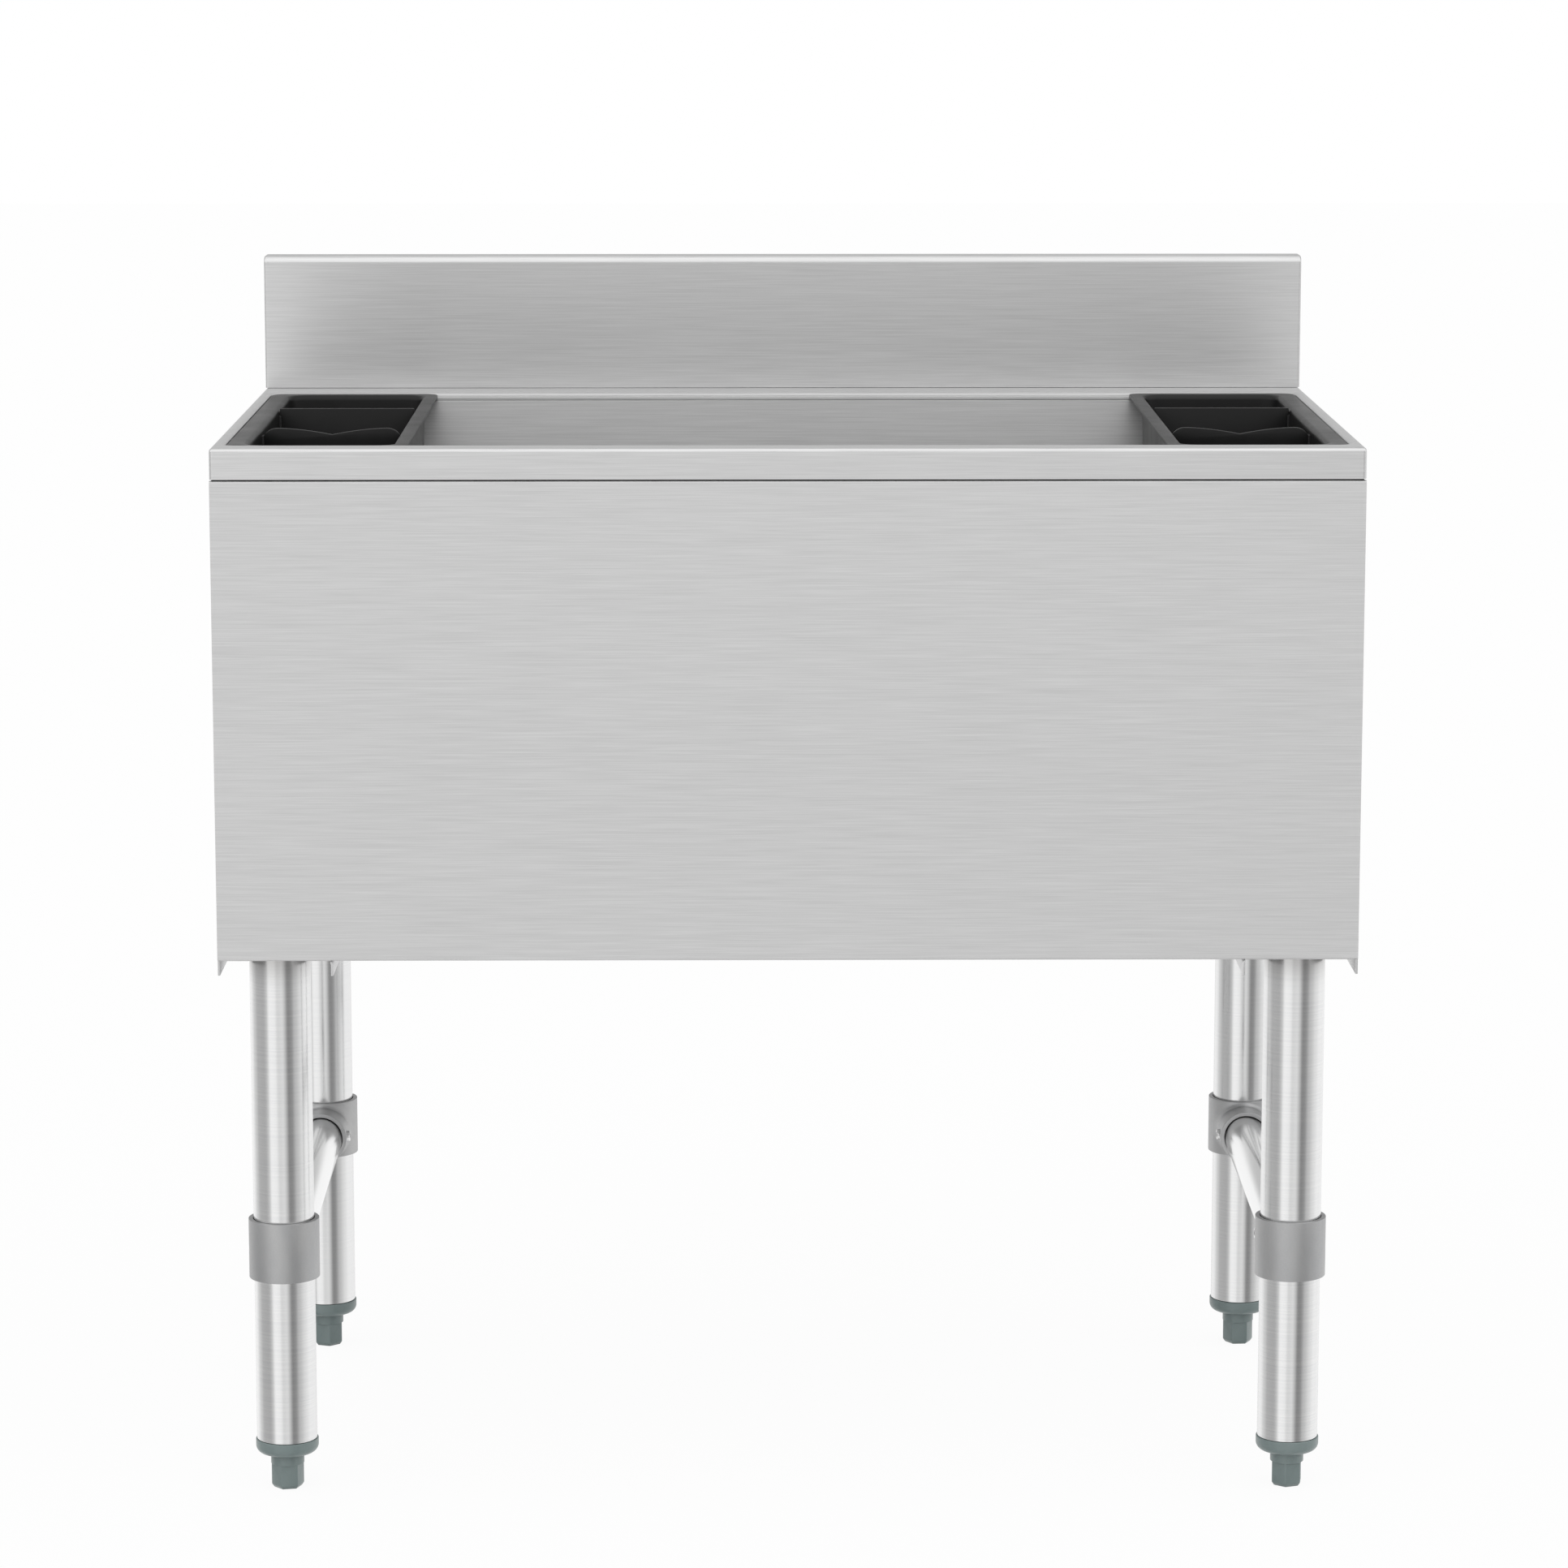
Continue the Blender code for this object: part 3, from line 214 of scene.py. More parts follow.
# Facets
CORNER_STEPS = 8
RING_POINTS = 4 * (CORNER_STEPS + 1)
WAVE_STEPS = 24
BEND_STEPS = 6
FILLET_STEPS = BEND_STEPS + 2
EDGE_STEPS = 3
SHEET_EDGE_STEPS = 2
CUP_EDGE_STEPS = 4
TUBE_SIDES = 96
SMALL_SIDES = 32
HOLE_SIDES = 16
HEX_SIDES = 6
THREAD_SIDES = 36
THREAD_ROWS = 6
SOFT_PARTS = 3
OVERRUN = 0.005
HALF_SHARE = 0.5
# How far a bend's face must look to the front and up to take the painted highlight
HIGHLIGHT_FACING = 0.12
SMOOTH = math.radians(32)
SHARP = math.radians(50)
SOFT_ANGLE = math.radians(30)
FOOT_ANGLE = math.radians(20)
PLATE_ANGLE = math.radians(60)

AXIS_X, AXIS_Y, AXIS_Z = range(3)
SIDES = {"left": -1, "right": 1}
ENDS = {"front": -1, "back": 1}
CORNERS = {end + "_" + side: (SIDES[side], ENDS[end]) for end in ENDS for side in SIDES}

# Places read from the frame
deck_low, deck_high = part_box("top_deck")
splash_low, splash_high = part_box("backsplash")
panel_low, panel_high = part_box("front_panel")
tub_low, tub_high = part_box("ice_tub")
tail_low, drain_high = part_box("drain_body")
HALF_WIDTH = deck_high.x
FRONT = deck_low.y
BACK = deck_high.y
RIM = deck_high.z
APRON_BOTTOM = deck_low.z
BODY_BOTTOM = panel_low.z
SKIRT_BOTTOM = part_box("right_panel")[0].z
PANEL_TOP = panel_high.z - JOGGLE_LIP
FOLD_START = PANEL_TOP - JOGGLE_RISE
LIP_TOP = PANEL_TOP + JOGGLE_LIP
OPENING_X = HALF_WIDTH - SIDE_RIM
OPENING_FRONT = FRONT + FRONT_RIM
OPENING_BACK = splash_low.y - BACK_LEDGE
SEAT_TOP = RIM - SEAT_DROP
TUB_X = OPENING_X - SEAT_SIDE
TUB_FRONT = OPENING_FRONT + SEAT_FRONT
TUB_BACK = OPENING_BACK - SEAT_BACK
SUMP_FLOOR = tub_low.z + SHEET
DRAIN_PLACE = (0, (TUB_FRONT + TUB_BACK) / 2)
BODY_SIDES = (-HALF_WIDTH, HALF_WIDTH, FRONT, BACK)
OPENING_SIDES = (-OPENING_X, OPENING_X, OPENING_FRONT, OPENING_BACK)
TUB_SIDES = (-TUB_X, TUB_X, TUB_FRONT, TUB_BACK)


# Shader graphs


def put(tree, socket, value):
    """Set a socket to a value, or join it to another node's output."""
    if isinstance(value, bpy.types.NodeSocket):
        tree.links.new(value, socket)
    else:
        socket.default_value = value


def add_node(tree, kind, output, inputs, **settings):
    """Add a shader node, fill its inputs, and give back one of its outputs."""
    node = tree.nodes.new("ShaderNode" + kind)
    for key, value in settings.items():
        setattr(node, key, value)
    for key, value in inputs.items():
        put(tree, node.inputs[key], value)
    return node.outputs[output]


def math_node(tree, operation, first, second):
    return add_node(tree, "Math", "Value", {0: first, 1: second}, operation=operation)


def grey(tone):
    return (tone, tone, tone)


class Graph:
    """A material's node tree, with short calls to add and join its nodes."""

    def __init__(self, name, metallic):
        self.material = bpy.data.materials.new(name)
        self.material.use_nodes = True
        self.tree = self.material.node_tree
        self.shader = self.tree.nodes["Principled BSDF"]
        self.set("Metallic", metallic)
        self.coordinates = self.add("TexCoord", "Object", {})

    def add(self, kind, output, inputs, **settings):
        return add_node(self.tree, kind, output, inputs, **settings)

    def set(self, name, value):
        put(self.tree, self.shader.inputs[name], value)

    def noise(self, scale, detail=2, roughness=0.55):
        """Noise with its own scale along each axis, in cycles per metre."""
        place = self.add("Mapping", "Vector", {"Vector": self.coordinates, "Scale": scale})
        inputs = {"Vector": place, "Scale": 1, "Detail": detail, "Roughness": roughness}
        return self.add("TexNoise", "Fac", inputs)

    def spread(self, value, low=0, high=1, start=0.3, end=0.7, **settings):
        """Map a value's useful span to another span."""
        inputs = {"Value": value, "From Min": start, "From Max": end, "To Min": low, "To Max": high}
        return self.add("MapRange", "Result", inputs, **settings)

    def weighed(self, first, second, share):
        """The sum of two values, the first taken by a share and the second by the rest."""
        first = math_node(self.tree, "MULTIPLY", first, share)
        second = math_node(self.tree, "MULTIPLY", second, 1 - share)
        return math_node(self.tree, "ADD", first, second)

    def mixed(self, dark, light, share):
        """Mix two colours, each a tuple or another node's output, by a value."""
        dark, light = [(*color, 1) if isinstance(color, tuple) else color for color in (dark, light)]
        return self.add("Mix", "Result", {"A": dark, "B": light, "Factor": share}, data_type="RGBA")

    def tint(self, dark, light, share):
        self.set("Base Color", self.mixed(dark, light, share))

    def roughen(self, value, low, high):
        self.set("Roughness", self.spread(value, low, high))

    def bump(self, height, strength, distance):
        inputs = {"Strength": strength, "Distance": distance, "Height": height}
        self.set("Normal", self.add("Bump", "Normal", inputs))


def grained(axis, grain):
    """Noise scales along each axis, from a count along one of them and a count across it."""
    along, across = grain
    return tuple(along if other == axis else across for other in (AXIS_X, AXIS_Y, AXIS_Z))


def brushed_sheet(name, along, painted_brightness=1, rough=SHEET_ROUGH):
    """Stainless sheet brushed along one level axis."""
    graph = Graph(name, SHEET_METAL_SHARE)
    hair = graph.noise(grained(along, SHEET_HAIR), roughness=0.6)
    line = graph.noise(grained(along, SHEET_LINE))
    grain = graph.weighed(hair, line, HAIR_SHARE)
    share = graph.spread(grain, start=0.36, end=0.64)
    graph.tint(grey(SHEET_DARK * painted_brightness), grey(SHEET_LIGHT * painted_brightness), share)
    graph.roughen(grain, rough - SHEET_ROUGH_SPREAD, rough + SHEET_ROUGH_SPREAD)
    graph.set("Anisotropic", ANISOTROPY)
    graph.set("Anisotropic Rotation", ANISOTROPY_TURN)
    way = {axis: 1 if axis == along else GRAIN_TILT for axis in (AXIS_X, AXIS_Y)}
    graph.set("Tangent", graph.add("CombineXYZ", "Vector", way))
    graph.bump(grain, strength=0.10, distance=0.0002)
    return graph.material


def satin_tube(name, along, painted_brightness=1, rough=TUBE_ROUGH, painted_shade_top=None):
    """Polished tube with faint rings left by the belt, and painted shade that darkens it just below a height,
    where the body above shades it.
    """
    graph = Graph(name, 1)
    ring = graph.noise(grained(along, TUBE_RINGS), roughness=0.6)
    dark = tuple(tone * painted_brightness for tone in TUBE_DARK)
    light = tuple(tone * painted_brightness for tone in TUBE_LIGHT)
    color = graph.mixed(dark, light, graph.spread(ring, start=0.35, end=0.65))
    # Painted shade: darker towards the given height, where the body shades the tube
    if painted_shade_top:
        height = graph.add("SeparateXYZ", "Z", {"Vector": graph.coordinates})
        near = {"start": painted_shade_top - PAINTED_SHADE_REACH, "end": painted_shade_top, "interpolation_type": "SMOOTHSTEP"}
        color = graph.mixed(color, PAINTED_SHADE_TONE, graph.spread(height, **near))
    graph.set("Base Color", color)
    graph.roughen(ring, rough - TUBE_ROUGH_SPREAD, rough + TUBE_ROUGH_SPREAD)
    graph.bump(ring, strength=0.04, distance=0.0001)
    return graph.material


def cast_metal(name):
    """Die-cast aluminium with a fine satin skin."""
    graph = Graph(name, 1)
    skin = graph.noise((1300, 1300, 1300), detail=3, roughness=0.6)
    cloud = graph.noise((60, 60, 20), detail=3)
    graph.tint((0.405, 0.408, 0.413), grey(0.445), graph.spread(cloud, start=0.35, end=0.65))
    graph.roughen(skin, low=0.42, high=0.56)
    graph.bump(skin, strength=0.16, distance=0.0003)
    return graph.material


def moulded_plastic(name, dark, light, rough, grain, strength, specular):
    """Injection-moulded plastic with a fine texture and slightly uneven gloss."""
    graph = Graph(name, 0)
    skin = graph.noise((grain, grain, grain), roughness=0.6)
    cloud = graph.noise(PLASTIC_CLOUD, detail=3)
    graph.tint(dark, light, graph.spread(cloud, start=0.35, end=0.65))
    both = graph.weighed(skin, cloud, HALF_SHARE)
    graph.roughen(both, rough - PLASTIC_ROUGH_SPREAD, rough + PLASTIC_ROUGH_SPREAD)
    graph.bump(skin, strength, distance=0.0003)
    graph.set("Specular IOR Level", specular)
    return graph.material


def turned_metal(name, dark, light, rough):
    """Metal with the fine rings of a lathe tool."""
    graph = Graph(name, 1)
    ring = graph.noise((20, 20, 2200))
    graph.tint(dark, light, graph.spread(ring))
    graph.roughen(ring, rough - 0.05, rough + 0.07)
    graph.bump(ring, strength=0.08, distance=0.0001)
    return graph.material


def foam_skin(name):
    """Poured foam with fine cells."""
    graph = Graph(name, 0)
    graph.set("Roughness", 0.9)
    cell = graph.noise((600, 600, 600), detail=3)
    graph.tint((0.60, 0.52, 0.32), (0.78, 0.70, 0.48), graph.spread(cell))
    graph.bump(cell, strength=0.4, distance=0.0008)
    return graph.material


SHEET_X = brushed_sheet("brushed_sheet_across", AXIS_X)
SHEET_Y = brushed_sheet("brushed_sheet_deep", AXIS_Y)
# A brighter, smoother copy of the sheet that paints the highlight on bends which face the front and up
PAINTED_BEND_HIGHLIGHT = brushed_sheet("bend_painted_highlight", AXIS_X, painted_brightness=1.14, rough=0.30)
# The upright tubes get painted shade just below the body's bottom
TUBE_Z = satin_tube("satin_tube_upright", AXIS_Z, painted_shade_top=BODY_BOTTOM)
# The braces' tube is a brighter copy of the legs' tube: a painted reflection of the bright room at their
# sides, with a smoother finish
TUBE_Y = satin_tube("satin_tube_level", AXIS_Y, painted_brightness=1.22, rough=0.13)
CAST = cast_metal("cast_connector")
SCREW = turned_metal("set_screw", grey(0.62), grey(0.78), rough=0.18)
BRASS = turned_metal("locknut_brass", (0.55, 0.42, 0.20), (0.68, 0.54, 0.28), rough=0.35)
FOOT = moulded_plastic(
    "foot_plastic", (0.150, 0.192, 0.190), (0.172, 0.215, 0.212),
    rough=0.34, grain=1500, strength=0.10, specular=0.55,
)
WELL = moulded_plastic(
    "well_plastic", grey(0.007), grey(0.010), rough=0.36, grain=1100, strength=0.08, specular=0.26
)
RUBBER = moulded_plastic(
    "gasket_rubber", grey(0.018), grey(0.030), rough=0.68, grain=900, strength=0.2, specular=0.4
)
FOAM = foam_skin("foam")
# A dark material on the panels' lips that paints the shade in the seam under the apron
PAINTED_SEAM_SHADE = moulded_plastic(
    "seam_painted_shade", grey(0.045), grey(0.070), rough=0.6, grain=700, strength=0.1, specular=0.3
)


# Modelling


def shade(mesh):
    """Smooth shading with the sharp folds kept."""
    mesh.shade_smooth()
    mesh.set_sharp_from_angle(angle=SMOOTH)


def make_object(name, bm, material=None):
    mesh = bpy.data.meshes.new(name)
    bm.to_mesh(mesh)
    bm.free()
    shade(mesh)
    obj = bpy.data.objects.new(name, mesh)
    bpy.context.scene.collection.objects.link(obj)
    if material:
        mesh.materials.append(material)
    return obj


def make_solid(name, bm, material=None):
    """Make an object of a closed mesh with its faces turned outwards."""
    bmesh.ops.recalc_face_normals(bm, faces=bm.faces)
    if bm.calc_volume(signed=True) < 0:
        bmesh.ops.reverse_faces(bm, faces=bm.faces)
    return make_object(name, bm, material)


def settle(obj):
    """Apply an object's modifiers and give its final mesh clean shading."""
    graph = bpy.context.evaluated_depsgraph_get()
    mesh = bpy.data.meshes.new_from_object(obj.evaluated_get(graph))
    obj.modifiers.clear()
    old = obj.data
    obj.data = mesh
    bpy.data.meshes.remove(old)
    shade(mesh)
    return obj


def modify(obj, kind, **settings):
    modifier = obj.modifiers.new(kind.lower(), kind)
    for key, value in settings.items():
        setattr(modifier, key, value)


def thicken(obj):
    """Give a surface the sheet's thickness behind its outer face."""
    modify(obj, "SOLIDIFY", thickness=SHEET, offset=-1, use_even_offset=True, use_quality_normals=True)
    return settle(obj)


def round_edges(obj, width, steps=EDGE_STEPS, angle=SHARP):
    modify(obj, "BEVEL", width=width, segments=steps, limit_method="ANGLE", angle_limit=angle,
           use_clamp_overlap=True, harden_normals=False)
    return settle(obj)


def combine(obj, *tools, operation="DIFFERENCE"):
    """Cut or join tools into an object, then throw the tools away."""
    for tool in tools:
        modify(obj, "BOOLEAN", operation=operation, object=tool, solver="EXACT")
    settle(obj)
    for tool in tools:
        bpy.data.objects.remove(tool, do_unlink=True)


def cube_mesh(low, high):
    bm = bmesh.new()
    bmesh.ops.create_cube(bm, size=1)
    bmesh.ops.scale(bm, vec=high - low, verts=bm.verts)
    bmesh.ops.translate(bm, vec=(low + high) / 2, verts=bm.verts)
    return bm


def box(first, second):
    """A box between two opposite corners, to cut with or to shape further."""
    low = Vector([min(a, b) for a, b in zip(first, second)])
    high = Vector([max(a, b) for a, b in zip(first, second)])
    return make_object("box", cube_mesh(low, high))


def rod(radius, start, end, sides=TUBE_SIDES, offset_share=0):
    """A round or faceted rod to cut with, its facets turned by a share of one facet."""
    start = Vector(start)
    end = Vector(end)
    run = end - start
    bm = bmesh.new()
    bmesh.ops.create_cone(bm, cap_ends=True, segments=sides, radius1=radius, radius2=radius, depth=run.length)
    turn = run.to_track_quat("Z", "Y").to_matrix().to_4x4()
    spin = Matrix.Rotation(2 * math.pi * offset_share / sides, 4, "Z")
    bm.transform(Matrix.Translation((start + end) / 2) @ turn @ spin)
    return make_object("rod", bm)


def polar(centre, radius, angle):
    return centre[0] + radius * math.cos(angle), centre[1] + radius * math.sin(angle)


def arc(radius, start, end, steps, centre=(0, 0)):
    """Points along an arc in a plane, angles in quarter turns."""
    turns = [start + (end - start) * step / steps for step in range(steps + 1)]
    return [polar(centre, radius, turn * math.pi / 2) for turn in turns]


def softened(profile, width):
    """A closed profile with its corners rounded off by a small radius."""
    points = []
    count = len(profile)
    for index, corner in enumerate(profile):
        corner = Vector(corner)
        before = Vector(profile[index - 1]) - corner
        after = Vector(profile[(index + 1) % count]) - corner
        if corner.x == 0 or math.pi - before.angle(after) < SOFT_ANGLE:
            points.append(tuple(corner))
            continue
        reach = min(width, before.length / SOFT_PARTS, after.length / SOFT_PARTS)
        first = corner + before.normalized() * reach
        last = corner + after.normalized() * reach
        for step in range(SOFT_PARTS + 1):
            share = step / SOFT_PARTS
            near = first.lerp(corner, share)
            far = corner.lerp(last, share)
            points.append(tuple(near.lerp(far, share)))
    return points


def circle(radius, height, centre=(0, 0), sides=THREAD_SIDES, start=0):
    """Points round a level circle."""
    angles = [start + 2 * math.pi * step / sides for step in range(sides)]
    return [(*polar(centre, radius, angle), height) for angle in angles]


def turned(name, profile, place, material=None, axis="Z", direction=1, sides=TUBE_SIDES):
    """Turn a closed profile of (radius, height) points about an axis through a place."""
    bm = bmesh.new()
    rings = []
    for radius, height in profile:
        points = circle(radius, height, sides=sides) if radius else [(0, 0, height)]
        rings.append([bm.verts.new(point) for point in points])
    pairs = list(zip(rings, rings[1:]))
    if profile[0][0] or profile[-1][0]:
        pairs.append((rings[-1], rings[0]))
    for first, second in pairs:
        for step in range(sides):
            after = (step + 1) % sides
            corners = [first[step % len(first)], first[after % len(first)]]
            corners += [second[after % len(second)], second[step % len(second)]]
            face = list(dict.fromkeys(corners))
            if len(face) > 2:
                bm.faces.new(face)
    turns = {
        "Z": Matrix.Identity(4),
        "Y": Matrix.Rotation(-math.pi / 2, 4, "X"),
        "X": Matrix.Rotation(direction * math.pi / 2, 4, "Y"),
    }
    bm.transform(Matrix.Translation(place) @ turns[axis])
    return make_solid(name, bm, material)


def rounded_ring(sides, radius, height, inset=0):
    """Points round a level rectangle with round corners, set in from its sides or, below zero, out."""
    low_x, high_x, low_y, high_y = sides
    radius -= inset
    left = low_x + inset + radius
    right = high_x - inset - radius
    front = low_y + inset + radius
    back = high_y - inset - radius
    ring = []
    for quarter, centre in enumerate(((right, back), (left, back), (left, front), (right, front))):
        for x, y in arc(radius, quarter, quarter + 1, CORNER_STEPS, centre):
            ring.append((x, y, height))
    return ring


def drain_ring(radius, height):
    """A circle round the drain with as many points as a rounded rectangle."""
    return circle(radius, height, DRAIN_PLACE, RING_POINTS, math.pi / RING_POINTS)


def bridge(bm, pairs):
    """Join pairs of vertex loops of equal count with quads."""
    for first, second in pairs:
        count = len(first)
        for index in range(count):
            after = (index + 1) % count
            bm.faces.new((first[index], first[after], second[after], second[index]))


def loft(name, rings, material=None, caps=(), closed=False):
    """Bridge rings of equal count in order. An open loft's flattest large face is turned up."""
    bm = bmesh.new()
    loops = [[bm.verts.new(point) for point in ring] for ring in rings]
    pairs = list(zip(loops, loops[1:]))
    if closed:
        pairs.append((loops[-1], loops[0]))
    bridge(bm, pairs)
    for index in caps:
        bm.faces.new(loops[index])
    if closed or len(caps) == 2:
        return make_solid(name, bm, material)
    bmesh.ops.recalc_face_normals(bm, faces=bm.faces)
    bm.normal_update()
    flattest = max(bm.faces, key=lambda face: abs(face.normal.z) * face.calc_area())
    if flattest.normal.z < 0:
        bmesh.ops.reverse_faces(bm, faces=bm.faces)
    return make_object(name, bm, material)


def bent_path(corners, radii):
    """A polyline whose inner corners are bends, each with its own radius."""
    points = [Vector(corners[0])]
    for before, corner, after, radius in zip(corners, corners[1:], corners[2:], radii):
        corner = Vector(corner)
        into = (Vector(before) - corner).normalized()
        away = (Vector(after) - corner).normalized()
        half = into.angle(away) / 2
        reach = radius / math.tan(half)
        centre = corner + (into + away).normalized() * radius / math.sin(half)
        start = (corner + into * reach - centre).normalized()
        end = (corner + away * reach - centre).normalized()
        for step in range(BEND_STEPS + 1):
            points.append(centre + start.slerp(end, step / BEND_STEPS) * radius)
    points.append(Vector(corners[-1]))
    return points


def folded_sheet(name, corners, radii, run, facing, material):
    """Fold a sheet along a path of corners, run it out, and thicken it behind its outer face."""
    run = Vector(run)
    bm = bmesh.new()
    path = bent_path(corners, radii)
    near = [bm.verts.new(point) for point in path]
    far = [bm.verts.new(point + run) for point in path]
    for index in range(len(path) - 1):
        bm.faces.new((near[index], near[index + 1], far[index + 1], far[index]))
    bm.faces.ensure_lookup_table()
    bm.normal_update()
    first = bm.faces[0]
    if first.normal.dot(Vector(facing) - first.calc_center_median()) < 0:
        bmesh.ops.reverse_faces(bm, faces=bm.faces)
    return thicken(make_object(name, bm, material))


def dress(obj, *nodes, slot="brushed_sheet", body="bin"):
    """Hang a finished piece on its body in place of its frame nodes."""
    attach(obj, body)
    if nodes:
        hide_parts(*nodes)


def measure(node):
    """A frame node's middle, and half its width."""
    low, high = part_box(node)
    return [(a + b) / 2 for a, b in zip(low, high)], (high.x - low.x) / 2


# Body of the bin


def paint_bend_highlight(obj, low, back):
    """Give the faces of a bend that look to the front and up, above a height and before a depth, a brighter
    and smoother copy of the sheet: a painted highlight.
    """
    obj.data.materials.append(PAINTED_BEND_HIGHLIGHT)
    for polygon in obj.data.polygons:
        normal = polygon.normal
        shown = normal.y < -HIGHLIGHT_FACING and normal.z > HIGHLIGHT_FACING
        if shown and polygon.center.z > low and polygon.center.y < back:
            polygon.material_index = 1


def build_deck():
    """The top: apron, bent rim, opening and the stepped seat for the bottle wells."""
    rings = [rounded_ring(BODY_SIDES, RIM_CORNER, APRON_BOTTOM)]
    for out, up in arc(RIM_BEND, 0, 1, BEND_STEPS):
        rings.append(rounded_ring(BODY_SIDES, RIM_CORNER, RIM - RIM_BEND + up, RIM_BEND - out))
    roll = arc(LIP_ROLL_RADIUS, 1, LIP_ROLL_END, BEND_STEPS, (0, -LIP_ROLL_RADIUS))
    turn = arc(LIP_BEND, LIP_ROLL_END, 0, BEND_STEPS)
    shift_out = roll[-1][0] - turn[0][0]
    shift_up = roll[-1][1] - turn[0][1]
    roll += [(out + shift_out, up + shift_up) for out, up in turn[1:]]
    for out, up in roll:
        rings.append(rounded_ring(OPENING_SIDES, OPENING_CORNER, RIM + up, out - roll[-1][0]))
    rings.append(rounded_ring(OPENING_SIDES, OPENING_CORNER, SEAT_TOP))
    rings.append(rounded_ring(TUB_SIDES, TUB_CORNER, SEAT_TOP))
    deck = thicken(loft("deck", rings, SHEET_X))
    # Painted highlight on the front of the rim's bend
    paint_bend_highlight(deck, RIM - RIM_BEND, OPENING_FRONT)
    dress(deck, "top_deck")


def build_backsplash():
    """A hollow upstand along the back, open underneath, with a bent top."""
    bm = cube_mesh(splash_low, splash_high)
    bottom = [face for face in bm.faces if face.normal.z < -HALF_SHARE]
    bmesh.ops.delete(bm, geom=bottom, context="FACES_ONLY")
    middle = (splash_low + splash_high) / 2

    def bend(edges, radius, steps):
        bmesh.ops.bevel(bm, geom=edges, offset=radius, segments=steps, profile=HALF_SHARE, affect="EDGES")

    bend([
        edge for edge in bm.edges
        if all(vert.co.z > middle.z for vert in edge.verts)
        and (edge.verts[0].co.x - middle.x) * (edge.verts[1].co.x - middle.x) < 0
    ], SPLASH_TOP_BEND, BEND_STEPS + 2)
    bend([
        edge for edge in bm.edges
        if len(edge.link_faces) == 2
        and sum(abs(face.normal.x) > HALF_SHARE for face in edge.link_faces) == 1
    ], SPLASH_END_BEND, BEND_STEPS)
    splash = thicken(make_object("splash", bm, SHEET_X))
    # Painted highlight on the front of the top bend
    paint_bend_highlight(splash, splash_high.z - SPLASH_TOP_BEND, BACK)
    dress(splash, "backsplash")


def paint_seam_shade(panel):
    """Give a panel's lip a dark material that paints the shade in the seam below the apron."""
    panel.data.materials.append(PAINTED_SEAM_SHADE)
    for polygon in panel.data.polygons:
        if polygon.center.z > FOLD_START + JOGGLE_BEND / 2:
            polygon.material_index = 1


def build_panels():
    """Folded outer panels whose top lips sit behind the deck's apron."""
    inset = SHEET + GAP
    for name, end in ENDS.items():
        face = end * BACK
        inner = face - end * inset
        corners = [
            (-HALF_WIDTH, face - end * PANEL_RETURN, BODY_BOTTOM),
            (-HALF_WIDTH, face, BODY_BOTTOM),
            (-HALF_WIDTH, face, FOLD_START),
            (-HALF_WIDTH, inner, PANEL_TOP),
            (-HALF_WIDTH, inner, LIP_TOP),
        ]
        radii = (PANEL_BEND, PANEL_BEND, JOGGLE_BEND)
        run = (2 * HALF_WIDTH, 0, 0)
        panel = folded_sheet(name + "_skin", corners, radii, run, (0, 0, -1), SHEET_X)
        for side in SIDES.values():
            near = side * (HALF_WIDTH - inset)
            far = side * (HALF_WIDTH + OVERRUN)
            combine(panel, box(
                (near - side * inset, face + end * OVERRUN, PANEL_TOP - JOGGLE_RISE / 2),
                (far, inner - end * OVERRUN, LIP_TOP + OVERRUN),
            ))
            combine(panel, box(
                (near, inner, BODY_BOTTOM - OVERRUN),
                (far, face - end * (PANEL_RETURN + OVERRUN), BODY_BOTTOM + OVERRUN),
            ))
        # Painted shade in the seam under the apron
        paint_seam_shade(panel)
        dress(panel, name + "_panel")
    for name, side in SIDES.items():
        face = side * HALF_WIDTH
        inner = face - side * inset
        start = FRONT + inset
        corners = [
            (face, start, SKIRT_BOTTOM),
            (face, start, FOLD_START),
            (inner, start, PANEL_TOP),
            (inner, start, LIP_TOP),
        ]
        run = (0, BACK - FRONT - 2 * inset, 0)
        radii = (PANEL_BEND, JOGGLE_BEND)
        panel = folded_sheet(name + "_skin", corners, radii, run, (2 * face, 0, 0), SHEET_Y)
        for end in ENDS.values():
            combine(panel, box(
                (face + side * OVERRUN, end * (BACK - 2 * inset), PANEL_TOP - PANEL_BEND),
                (inner - side * OVERRUN, end * (BACK + OVERRUN), LIP_TOP + OVERRUN),
            ))
        round_edges(panel, SHEET_EDGE, SHEET_EDGE_STEPS)
        # Painted shade in the seam under the apron
        paint_seam_shade(panel)
        dress(panel, name + "_panel")


def build_channels():
    """The folded channels under the floor that tie each pair of legs."""
    for name, side in SIDES.items():
        low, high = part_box(name + "_leg_channel")
        outer, inner = (high.x, low.x) if side > 0 else (low.x, high.x)
        corners = [(outer, low.y, high.z), (inner, low.y, high.z), (inner, low.y, low.z)]
        run = (0, high.y - low.y, 0)
        channel = folded_sheet(name + "_channel", corners, (CHANNEL_BEND,), run, (0, 0, 1), SHEET_Y)
        for end in ENDS:
            (x, y, _), _ = measure("leg_socket_" + end + "_" + name)
            radius = measure("leg_" + end + "_" + name)[1] + SHEET + CHANNEL_HOLE_FIT
            combine(channel, rod(radius, (x, y, high.z - SHEET - OVERRUN), (x, y, high.z + OVERRUN)))
            combine(channel, box(
                (outer + side * OVERRUN, ENDS[end] * (BACK + OVERRUN), high.z + OVERRUN),
                (inner + side * (SHEET + GAP), ENDS[end] * (BACK - CHANNEL_NOTCH), low.z - OVERRUN),
            ))
        round_edges(channel, SHEET_EDGE, SHEET_EDGE_STEPS)
        dress(channel, name + "_leg_channel")


